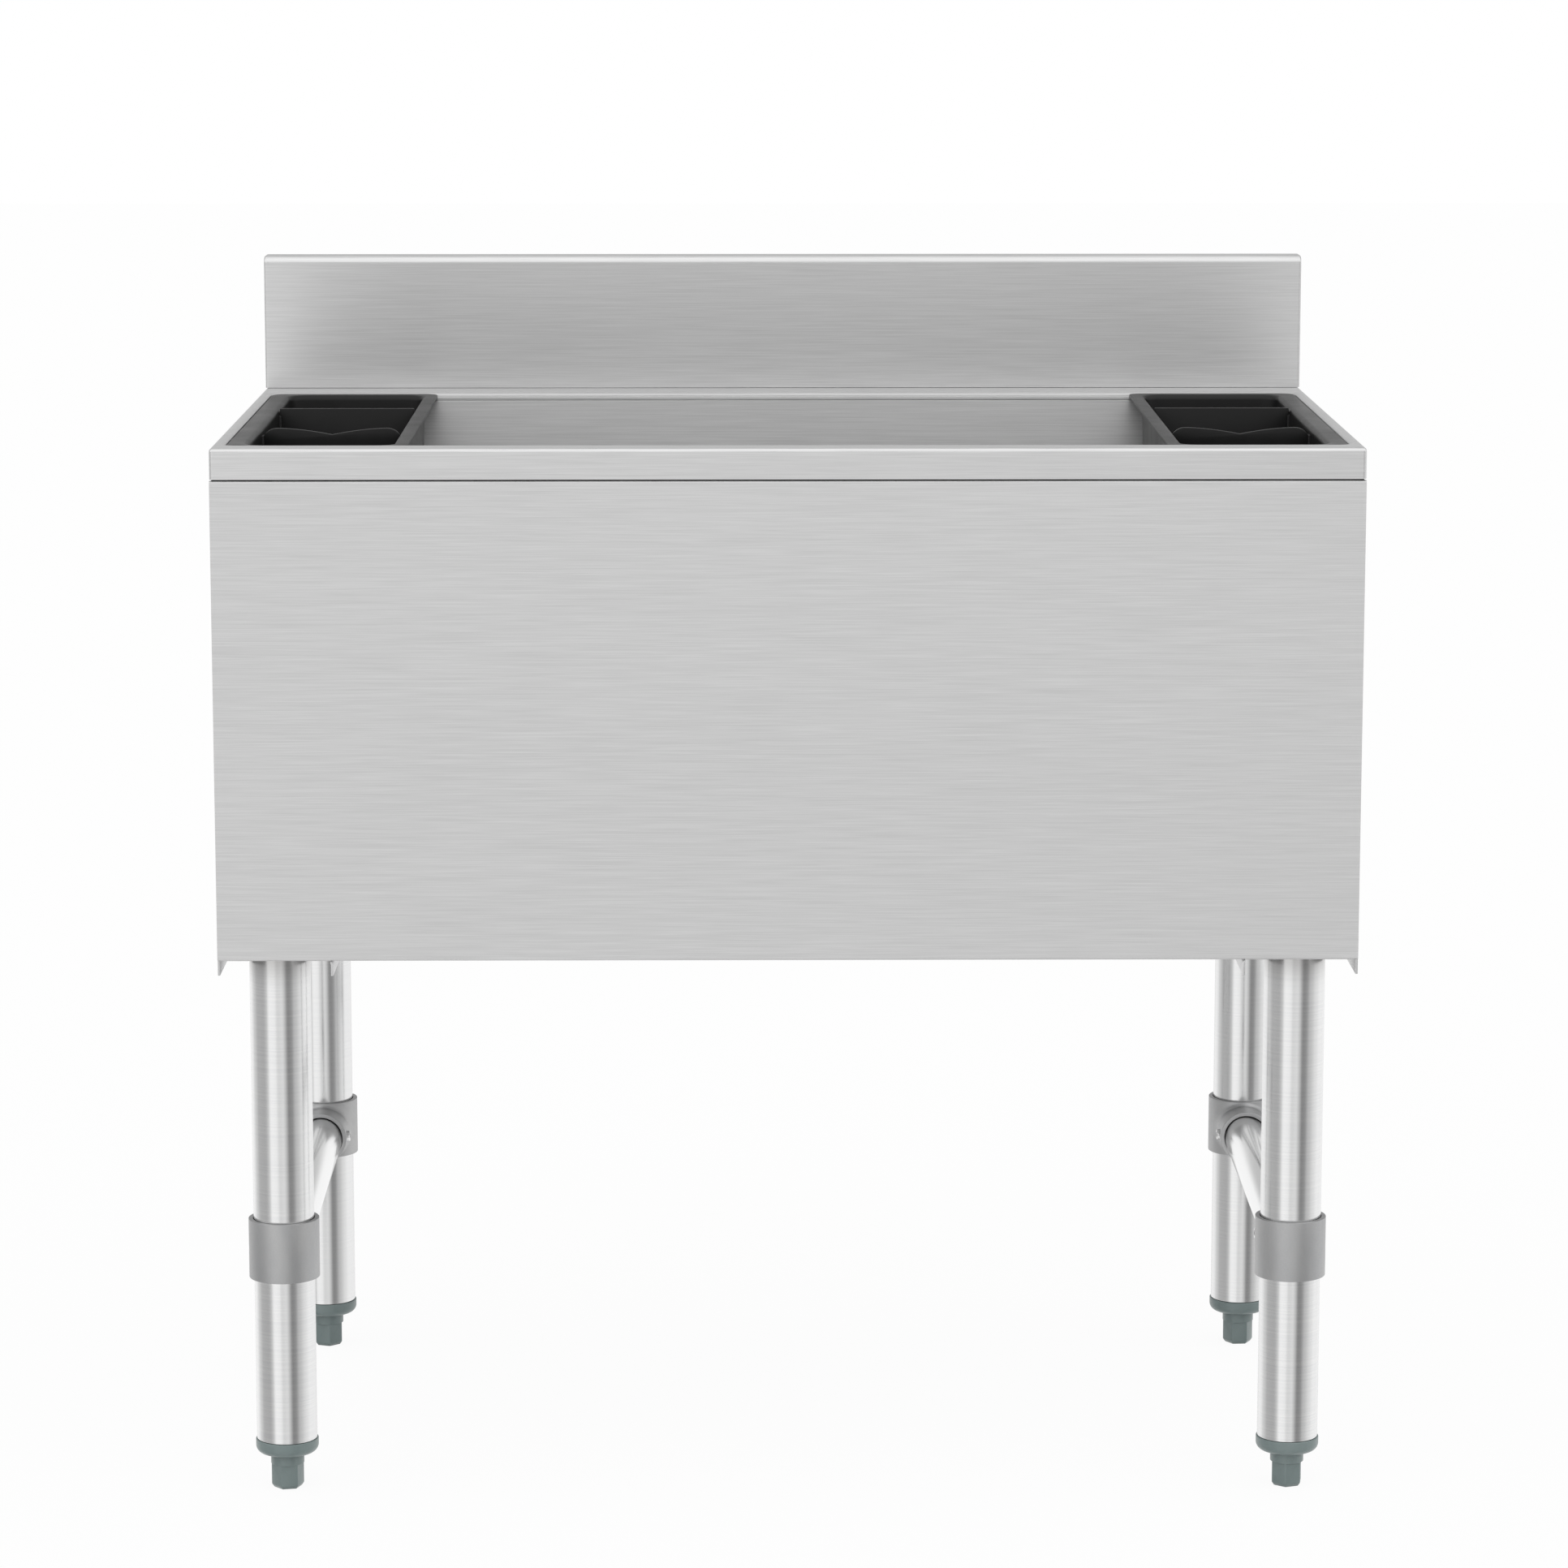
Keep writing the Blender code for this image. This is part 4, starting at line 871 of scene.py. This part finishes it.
def build_tub():
    """The welded ice tub: flange under the deck's seat, coved corners, floor falling to a sump."""
    top = tub_high.z
    edge = SUMP_FLOOR + SUMP_DEPTH
    ease = SHEET / 4
    rings = [rounded_ring(TUB_SIDES, TUB_CORNER, top, -TUB_FLANGE)]
    for out, up in arc(TUB_TOP_BEND, 1, 0, BEND_STEPS):
        rings.append(rounded_ring(TUB_SIDES, TUB_CORNER, top - TUB_TOP_BEND + up, out - TUB_TOP_BEND))
    for out, down in arc(TUB_COVE, 0, -1, 2 * BEND_STEPS):
        height = edge + TUB_FALL + TUB_COVE + down
        rings.append(rounded_ring(TUB_SIDES, TUB_CORNER, height, TUB_COVE - out))
    rings.append(drain_ring(SUMP_RADIUS + SUMP_SLOPE + SUMP_DEPTH, edge + ease))
    rings.append(drain_ring(SUMP_RADIUS + SUMP_SLOPE, edge - ease))
    rings.append(drain_ring(SUMP_RADIUS + ease, SUMP_FLOOR + ease))
    rings.append(drain_ring(SUMP_RADIUS - ease, SUMP_FLOOR))
    rings.append(drain_ring(DRAIN_BOWL_RADIUS + GAP, SUMP_FLOOR))
    dress(thicken(loft("tub", rings, SHEET_X)), "ice_tub")


def thread_rings(major, depth, pitch, start, end, centre):
    """Rings whose radius rises and falls along a helix, from one height down to another."""
    rows = max(2, round(abs(start - end) / pitch * THREAD_ROWS))
    rings = []
    for row in range(rows + 1):
        height = start + (end - start) * row / rows
        runout = min(1, row / THREAD_ROWS, (rows - row) / THREAD_ROWS)
        ring = []
        for step in range(THREAD_SIDES):
            turn = step / THREAD_SIDES
            phase = (height / pitch - turn) % 1
            radius = major - depth * runout * abs(2 * phase - 1)
            ring.append((*polar(centre, radius, 2 * math.pi * turn), height))
        rings.append(ring)
    return rings


def build_drain():
    """The drain body with its threaded tail, and the dished strainer."""
    flange = (drain_high.x - tail_low.x) / 2
    seat = SUMP_FLOOR + GAP
    top = drain_high.z
    bottom = tail_low.z
    bowl_low = SUMP_FLOOR - DRAIN_BOWL_DEPTH
    bowl = DRAIN_BOWL_RADIUS - DRAIN_WALL
    rebate = bowl + STRAINER_LEDGE
    ledge = top - STRAINER_DROP
    plain_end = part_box("floor_panel")[0].z - 2 * GAP
    tail = DRAIN_BOWL_RADIUS - DRAIN_TAIL_STEP
    bore = tail - DRAIN_TAIL_WALL
    outside = [
        (rebate + DRAIN_EDGE, top), (flange - DRAIN_EDGE, top), (flange, top - DRAIN_EDGE), (flange, seat),
        (DRAIN_BOWL_RADIUS, seat), (DRAIN_BOWL_RADIUS, bowl_low), (tail, bowl_low - DRAIN_TAPER),
        (tail, plain_end),
    ]
    inside = [
        (tail - DRAIN_EDGE, bottom), (bore + DRAIN_EDGE, bottom), (bore, bottom + DRAIN_EDGE),
        (bore, bowl_low), (bowl, bowl_low + DRAIN_TAPER), (bowl, ledge), (rebate, ledge),
        (rebate, top - DRAIN_EDGE),
    ]
    thread_top = min(plain_end, bottom + TAIL_THREAD_LENGTH) - GAP
    rings = [circle(radius, height, DRAIN_PLACE) for radius, height in outside]
    rings += thread_rings(
        tail, TAIL_THREAD_DEPTH, TAIL_THREAD_PITCH, thread_top, bottom + DRAIN_EDGE, DRAIN_PLACE
    )
    rings += [circle(radius, height, DRAIN_PLACE) for radius, height in inside]
    dress(loft("drain", rings, SHEET_X, closed=True), "drain_body")
    low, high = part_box("drain_strainer")
    radius = (high.x - low.x) / 2
    plate = [(radius * out, high.z - STRAINER_DISH * drop) for out, drop in DISH_SHARES]
    plate += [
        (radius - DRAIN_EDGE / 2, high.z), (radius, high.z - DRAIN_EDGE / 2), (radius, low.z), (0, low.z),
    ]
    strainer = turned("strainer", plate, (*DRAIN_PLACE, 0), SHEET_X, sides=THREAD_SIDES)
    reach = radius - 2 * STRAINER_LEDGE
    last = len(STRAINER_RINGS) - 1
    holes = []
    for ring, count in enumerate(STRAINER_RINGS):
        turn = math.pi / 2 * ring / count
        for x, y, z in circle(reach * ring / last, low.z - OVERRUN, DRAIN_PLACE, count, turn):
            holes.append(rod(STRAINER_HOLE_RADIUS, (x, y, z), (x, y, high.z + OVERRUN), HOLE_SIDES))
    combine(strainer, *holes)
    dress(strainer, "drain_strainer")


# Legs


def tube_profile(radius, wall, low, high):
    return softened([(radius, high), (radius, low), (radius - wall, low), (radius - wall, high)], TUBE_EDGE)


def build_legs():
    for corner in CORNERS:
        low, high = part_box("leg_" + corner)
        (x, y, _), radius = measure("leg_" + corner)
        profile = tube_profile(radius, LEG_WALL, low.z, high.z)
        leg = turned("leg_tube_" + corner, profile, (x, y, 0), TUBE_Z)
        dress(leg, "leg_" + corner, slot="satin_tube")
    for name in SIDES:
        low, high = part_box(name + "_brace")
        middle, radius = measure(name + "_brace")
        half = (high.y - low.y) / 2
        profile = tube_profile(radius, BRACE_WALL, -half, half)
        brace = turned(name + "_brace_tube", profile, middle, TUBE_Y, "Y")
        dress(brace, name + "_brace", slot="satin_tube")


def filleted_boss(x, y, height, inward, boss, collar, reach):
    """A round boss that leaves a round collar at right angles, with a fillet that follows the join."""
    edge = BOSS_EDGE
    rows = [(boss - edge + out, None, reach - edge + up) for out, up in arc(edge, 1, 0, EDGE_STEPS)]
    for step in range(FILLET_STEPS + 1):
        angle = math.pi / 2 * step / FILLET_STEPS
        rows.append((boss + BOSS_FILLET * (1 - math.cos(angle)), BOSS_FILLET * (1 - math.sin(angle)), None))
    rows.append((boss + BOSS_FILLET, -TEE_WALL / 2, None))
    rings = []
    for radius, above, out in rows:
        ring = []
        for across, up, _ in circle(radius, 0, sides=TUBE_SIDES):
            depth = out if above is None else math.sqrt(collar ** 2 - across ** 2) + above
            ring.append((x + across, y + inward * depth, height + up))
        rings.append(ring)
    rings.append([(px, y, pz) for px, _, pz in rings[-1]])
    return loft("arm", rings, caps=(0, len(rings) - 1))


def build_tees():
    """Cast connectors: a collar on the leg and a filleted boss that holds the brace."""
    for corner, (side, end) in CORNERS.items():
        inward = -end
        low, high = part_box("leg_tee_" + corner)
        (x, y, _), leg = measure("leg_" + corner)
        brace_node = corner.split("_")[1] + "_brace"
        brace_low, brace_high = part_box(brace_node)
        (_, _, level), brace = measure(brace_node)
        collar = leg + TEE_FIT + TEE_WALL
        boss = brace + BRACE_FIT + BOSS_WALL
        reach = (high.y - y) if inward > 0 else (y - low.y)
        outline = softened([(0, high.z), (collar, high.z), (collar, low.z), (0, low.z)], TEE_EDGE)
        tee = turned("connector_" + corner, outline, (x, y, 0), CAST)
        arm = filleted_boss(x, y, level, inward, boss, collar, reach)
        trim = TEE_EDGE / 2
        combine(arm, box(
            (x - 2 * collar, y - 2 * reach, low.z + trim),
            (x + 2 * collar, y + 2 * reach, high.z - trim),
        ), operation="INTERSECT")
        combine(tee, arm, operation="UNION")
        bore = leg + TEE_FIT
        combine(tee, rod(
            bore, (x, y, low.z - OVERRUN), (x, y, high.z + OVERRUN), offset_share=HALF_SHARE
        ))
        brace_end = (brace_low.y if inward > 0 else brace_high.y) - inward * GAP
        combine(tee, rod(
            brace + BRACE_FIT, (x, brace_end, level), (x, y + inward * (reach + OVERRUN), level),
            offset_share=HALF_SHARE,
        ))
        screw_y = measure("brace_screw_" + corner)[0][AXIS_Y]
        hole = SCREW_RADIUS + SCREW_FIT
        boss_side = x - side * (boss + OVERRUN)
        combine(tee, rod(hole, (x, screw_y, level), (boss_side, screw_y, level), SMALL_SIDES))
        middle = (low.z + high.z) / 2
        collar_side = x + side * (collar + OVERRUN)
        combine(tee, rod(hole, (x, y, middle), (collar_side, y, middle), SMALL_SIDES))
        dress(tee, "leg_tee_" + corner, slot="cast_connector")
        build_screw("brace_lock_" + corner, "brace_screw_" + corner, -side)
        build_screw("collar_lock_" + corner, "collar_screw_" + corner, side)


def build_screw(name, node, direction):
    """A headless screw with a chamfered face and a hexagonal socket."""
    low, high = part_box(node)
    middle = (low + high) / 2
    length = high.x - low.x
    start = low.x if direction > 0 else high.x
    profile = [
        (0, length), (SCREW_RADIUS - SCREW_CHAMFER, length), (SCREW_RADIUS, length - SCREW_CHAMFER),
        (SCREW_RADIUS, 0), (0, 0),
    ]
    screw = turned(name, profile, (start, middle.y, middle.z), SCREW, "X", direction, SMALL_SIDES)
    outer = start + direction * length
    depth = min(SCREW_SOCKET_DEPTH, length / 2)
    combine(screw, rod(
        SCREW_SOCKET_RADIUS, (outer - direction * depth, middle.y, middle.z),
        (outer + direction * OVERRUN, middle.y, middle.z), HEX_SIDES,
    ))
    dress(screw, node, slot="set_screw")


def build_feet():
    """Plastic cups plugged into the legs, and hexagonal feet on threaded studs."""
    for corner in CORNERS:
        low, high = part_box("foot_cup_" + corner)
        (x, y, _), cup = measure("foot_cup_" + corner)
        cup_top = low.z + CUP_HEIGHT
        plug = measure("leg_" + corner)[1] - LEG_WALL - PLUG_FIT
        bore = STUD_RADIUS + GAP
        edge = arc(CUP_EDGE, 1, 0, CUP_EDGE_STEPS, (cup - CUP_EDGE, cup_top - CUP_EDGE))
        profile = [
            (plug - PLUG_CHAMFER, high.z), (plug, high.z - PLUG_CHAMFER), (plug, cup_top),
            (cup - CUP_EDGE, cup_top), *edge[1:],
            *arc(CUP_ROUND, 0, -1, 2 * BEND_STEPS, (cup - CUP_ROUND, low.z + CUP_ROUND)),
            (bore + CUP_EDGE, low.z), (bore, low.z + CUP_EDGE), (bore, high.z),
        ]
        piece = turned("cup_" + corner, profile, (x, y, 0), FOOT)
        dress(piece, "foot_cup_" + corner, slot="foot_plastic")
        build_foot(corner, x, y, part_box("foot_" + corner)[0].z, measure("foot_" + corner)[1])


def build_foot(corner, x, y, base, neck):
    """One foot: a hexagon to turn it by, a round neck under the cup, and a threaded stud."""
    hex_top = base + FOOT_HEX_HEIGHT
    neck_top = hex_top + FOOT_NECK_HEIGHT
    start = math.radians(FOOT_TURNS[corner])
    rings = [circle(radius, height, (x, y), HEX_SIDES, start) for radius, height in (
        (FOOT_HEX_RADIUS - FOOT_CHAMFER, base), (FOOT_HEX_RADIUS, base + FOOT_CHAMFER_HEIGHT),
        (FOOT_HEX_RADIUS, hex_top + FOOT_LAP),
    )]
    foot = loft("levelling_foot_" + corner, rings, FOOT, caps=(0, len(rings) - 1))
    round_edges(foot, FOOT_EDGE, angle=FOOT_ANGLE)
    collar = softened([(0, neck_top), (neck, neck_top), (neck, hex_top), (0, hex_top)], FOOT_EDGE)
    combine(foot, turned("neck", collar, (x, y, 0)), operation="UNION")
    dress(foot, "foot_" + corner, slot="foot_plastic", body=corner + "_foot")
    stud_top = neck_top + STUD_LENGTH
    rings = thread_rings(
        STUD_RADIUS, STUD_THREAD_DEPTH, STUD_THREAD_PITCH, stud_top, neck_top + GAP / 4, (x, y)
    )
    tip = circle(STUD_RADIUS - 2 * STUD_THREAD_DEPTH, stud_top, (x, y))
    stud = loft("stud_" + corner, [tip, *rings[1:]], FOOT, caps=(0, len(rings) - 1))
    dress(stud, slot="foot_plastic", body=corner + "_foot")


# Bottle wells


def build_wells():
    """The moulded bottle wells, with pairs of ribs that guide their dividers."""
    for name, side in SIDES.items():
        low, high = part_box(name + "_bottle_well")
        mouth_inner = min(abs(low.x), abs(high.x)) + WELL_INNER_RIM
        mouth_outer = max(abs(low.x), abs(high.x)) - WELL_OUTER_RIM
        rim = (low.x, high.x, low.y, high.y)
        ends = sorted((side * mouth_inner, side * mouth_outer))
        mouth = (*ends, low.y + WELL_FRONT_RIM, high.y - WELL_BACK_RIM)
        top = high.z
        floor = low.z + WELL_SHEET
        rings = [rounded_ring(rim, WELL_CORNER, top - WELL_SHEET)]
        for out, up in arc(WELL_EDGE, 0, 1, EDGE_STEPS):
            rings.append(rounded_ring(rim, WELL_CORNER, top - WELL_EDGE + up, WELL_EDGE - out))
        for out, up in arc(WELL_LIP_BEND, 1, 0, BEND_STEPS):
            rings.append(rounded_ring(mouth, MOUTH_CORNER, top - WELL_LIP_BEND + up, out - WELL_LIP_BEND))
        cove_steps = 2 * BEND_STEPS
        for radius, start, end in ((WELL_COVE, 0, -1), (WELL_COVE + WELL_SHEET, -1, 0)):
            for out, down in arc(radius, start, end, cove_steps):
                inset = WELL_DRAFT + WELL_COVE - out
                rings.append(rounded_ring(mouth, MOUTH_CORNER + WELL_DRAFT, floor + WELL_COVE + down, inset))
        last_inside = len(rings) - cove_steps - 2
        rings.append(rounded_ring(mouth, MOUTH_CORNER, top - WELL_LIP_BEND, -WELL_SHEET))
        rings.append(rounded_ring(mouth, MOUTH_CORNER, top - WELL_SHEET, -2 * WELL_SHEET))
        well = shell(name + "_well", rings, last_inside)
        for kind in ("flat", "wavy"):
            place = measure(name + "_" + kind + "_divider")[0][AXIS_Y]
            add_ribs(well, side, place, mouth_inner, mouth_outer, floor, top)
            build_divider(name, side, kind, place, mouth_inner, mouth_outer, floor, top)
        dress(well, name + "_bottle_well", slot="well_plastic", body=name + "_well")


def shell(name, rings, last_inside):
    """A closed moulding from rings that run over its face, with flat floors inside and under it."""
    bm = bmesh.new()
    loops = [[bm.verts.new(point) for point in ring] for ring in rings]
    pairs = list(zip(loops, loops[1:] + loops[:1]))
    pairs.pop(last_inside)
    bridge(bm, pairs)
    for loop in loops[last_inside:last_inside + 2]:
        bm.faces.new(loop)
    return make_solid(name, bm, WELL)


def add_ribs(well, side, place, mouth_inner, mouth_outer, floor, top):
    """Two ribs on each long wall of a well, with the divider's slot between them."""
    for wall, toward in ((mouth_inner + WELL_DRAFT, 1), (mouth_outer - WELL_DRAFT, -1)):
        for direction in (-1, 1):
            near = place + direction * (DIVIDER_SHEET / 2 + DIVIDER_FIT)
            rib = box(
                (side * (wall - toward * WELL_SHEET / 2), near, floor - WELL_SHEET / 2),
                (side * (wall + toward * RIB_REACH), near + direction * RIB_WIDTH, top - RIB_TOP_DROP),
            )
            for vert in rib.data.vertices:
                if vert.co.z > floor:
                    vert.co.x -= side * toward * WELL_DRAFT
            round_edges(rib, RIB_EDGE)
            combine(well, rib, operation="UNION")


def wave_points(half, top):
    """The wave from the left wall to the middle: a rounded corner, a hump and a shallow V."""
    points = []
    for u, v in arc(1, 2, 1, 2 * CORNER_STEPS):
        points.append((-half + WAVY_CORNER * (1 + u), top - WAVY_CORNER_DROP * (1 - v)))
    hump = half - WAVY_CORNER
    for step in range(1, WAVE_STEPS + 1):
        share = step / WAVE_STEPS
        points.append((-hump * (1 - share), top - WAVY_DIP * share ** WAVY_POWER))
    return points


def build_divider(name, side, kind, place, mouth_inner, mouth_outer, floor, top):
    """A plain divider, or one with a waved top."""
    centre = side * (mouth_inner + mouth_outer) / 2
    half = (mouth_outer - mouth_inner) / 2 - WELL_DRAFT - DIVIDER_FIT
    wide = half + WELL_DRAFT
    bottom = floor + GAP
    foot = WELL_COVE
    outline = [(-half, bottom + foot), (-half + foot, bottom), (half - foot, bottom), (half, bottom + foot)]
    if kind == "flat":
        outline += [(wide, top), (-wide, top)]
    else:
        wave = wave_points(wide, top)
        outline += [(-u, v) for u, v in wave]
        outline += reversed(wave[:-1])
    bm = bmesh.new()
    bm.faces.new([bm.verts.new((centre + u, place - DIVIDER_SHEET / 2, v)) for u, v in outline])
    grown = bmesh.ops.extrude_face_region(bm, geom=list(bm.faces))
    moved = [item for item in grown["geom"] if isinstance(item, bmesh.types.BMVert)]
    bmesh.ops.translate(bm, vec=(0, DIVIDER_SHEET, 0), verts=moved)
    title = name + "_" + kind
    divider = make_solid(title + "_plate", bm, WELL)
    round_edges(divider, DIVIDER_EDGE, angle=PLATE_ANGLE)
    dress(divider, title + "_divider", slot="well_plastic", body=title + "_divider_body")


# What keeps its frame shape, hidden under the rest


def finish_frame_nodes():
    finishes = {
        "floor_panel": SHEET_X,
        "insulation": FOAM,
        "drain_gasket": RUBBER,
        "drain_locknut": BRASS,
    }
    for corner in CORNERS:
        finishes["leg_socket_" + corner] = SHEET_Y
    for name, material in finishes.items():
        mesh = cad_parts[name].data
        mesh.materials.clear()
        mesh.materials.append(material)


# Camera, floor and light


def tone_ramp(tree, source, tones):
    """A grey ramp over a value in degrees, scaled to the room's peak."""
    first = tones[0][0]
    last = tones[-1][0]
    span = {"Value": source, "From Min": math.radians(first), "From Max": math.radians(last)}
    share = add_node(tree, "MapRange", "Result", span)
    color = add_node(tree, "ValToRGB", "Color", {"Fac": share})
    ramp = color.node.color_ramp
    ramp.interpolation = "EASE"
    while len(ramp.elements) < len(tones):
        ramp.elements.new(HALF_SHARE)
    for element, (angle, tone) in zip(ramp.elements, tones):
        element.position = (angle - first) / (last - first)
        element.color = (*grey(tone / ROOM_PEAK), 1)
    return color


def build_room():
    """Soft light all round, with a white background for the camera."""
    world = bpy.data.worlds.new("studio")
    bpy.context.scene.world = world
    world.use_nodes = True
    tree = world.node_tree
    tree.nodes.clear()
    direction = add_node(tree, "TexCoord", "Generated", {})
    x, y, z = add_node(tree, "SeparateXYZ", "X", {"Vector": direction}).node.outputs
    front = math_node(tree, "MULTIPLY", y, -1)
    walls = tone_ramp(tree, math_node(tree, "ARCTAN2", x, front), ROOM_TONES)
    height = math_node(tree, "ARCTAN2", math_node(tree, "MAXIMUM", z, 0), front)
    sky = tone_ramp(tree, height, SKY_TONES)
    span = {"Value": z, "From Min": SKY_START, "From Max": SKY_FULL}
    rise = add_node(tree, "MapRange", "Result", span, interpolation_type="SMOOTHSTEP")
    tones = add_node(tree, "Mix", "Result", {"Factor": rise, "A": walls, "B": sky}, data_type="RGBA")
    light = add_node(tree, "Background", "Background", {"Color": tones, "Strength": ROOM_PEAK})
    white = add_node(tree, "Background", "Background", {"Color": (*grey(1), 1)})
    seen = add_node(tree, "LightPath", "Is Camera Ray", {})
    shown = add_node(tree, "MixShader", "Shader", {"Fac": seen, 1: light, 2: white})
    output = tree.nodes.new("ShaderNodeOutputWorld")
    put(tree, output.inputs["Surface"], shown)


def build_floor():
    """A pale floor that shows white, with a faint shadow under the feet."""
    bm = bmesh.new()
    bmesh.ops.create_grid(bm, x_segments=FLOOR_CELLS, y_segments=FLOOR_CELLS, size=FLOOR_SIZE / 2)
    graph = Graph("pale_floor", 0)
    graph.set("Roughness", 1)
    graph.set("Base Color", (*grey(FLOOR_TONE), 1))
    graph.set("Specular IOR Level", 0)
    glow = graph.add("Emission", "Emission", {})
    seen = graph.add("LightPath", "Is Camera Ray", {})
    share = math_node(graph.tree, "MULTIPLY", seen, 1 - FLOOR_SHADOW_SHARE)
    shown = graph.add("MixShader", "Shader", {"Fac": share, 1: graph.shader.outputs["BSDF"], 2: glow})
    put(graph.tree, graph.tree.nodes["Material Output"].inputs["Surface"], shown)
    floor = make_object("floor", bm, graph.material)
    floor.visible_glossy = False


def build_camera():
    camera = bpy.data.cameras.new("camera")
    camera.sensor_width = SENSOR_MILLIMETRES
    camera.lens = SENSOR_MILLIMETRES * FOCAL_PIXELS / IMAGE_PIXELS
    holder = bpy.data.objects.new("camera", camera)
    holder.location = CAMERA_PLACE
    holder.rotation_euler = (math.pi / 2 - CAMERA_DOWN, 0, -CAMERA_RIGHT)
    bpy.context.scene.collection.objects.link(holder)
    bpy.context.scene.camera = holder


build_camera()
build_room()
build_floor()
build_deck()
build_backsplash()
build_panels()
build_channels()
build_tub()
build_drain()
build_legs()
build_tees()
build_feet()
build_wells()
finish_frame_nodes()
bpy.context.scene.view_settings.view_transform = "Standard"
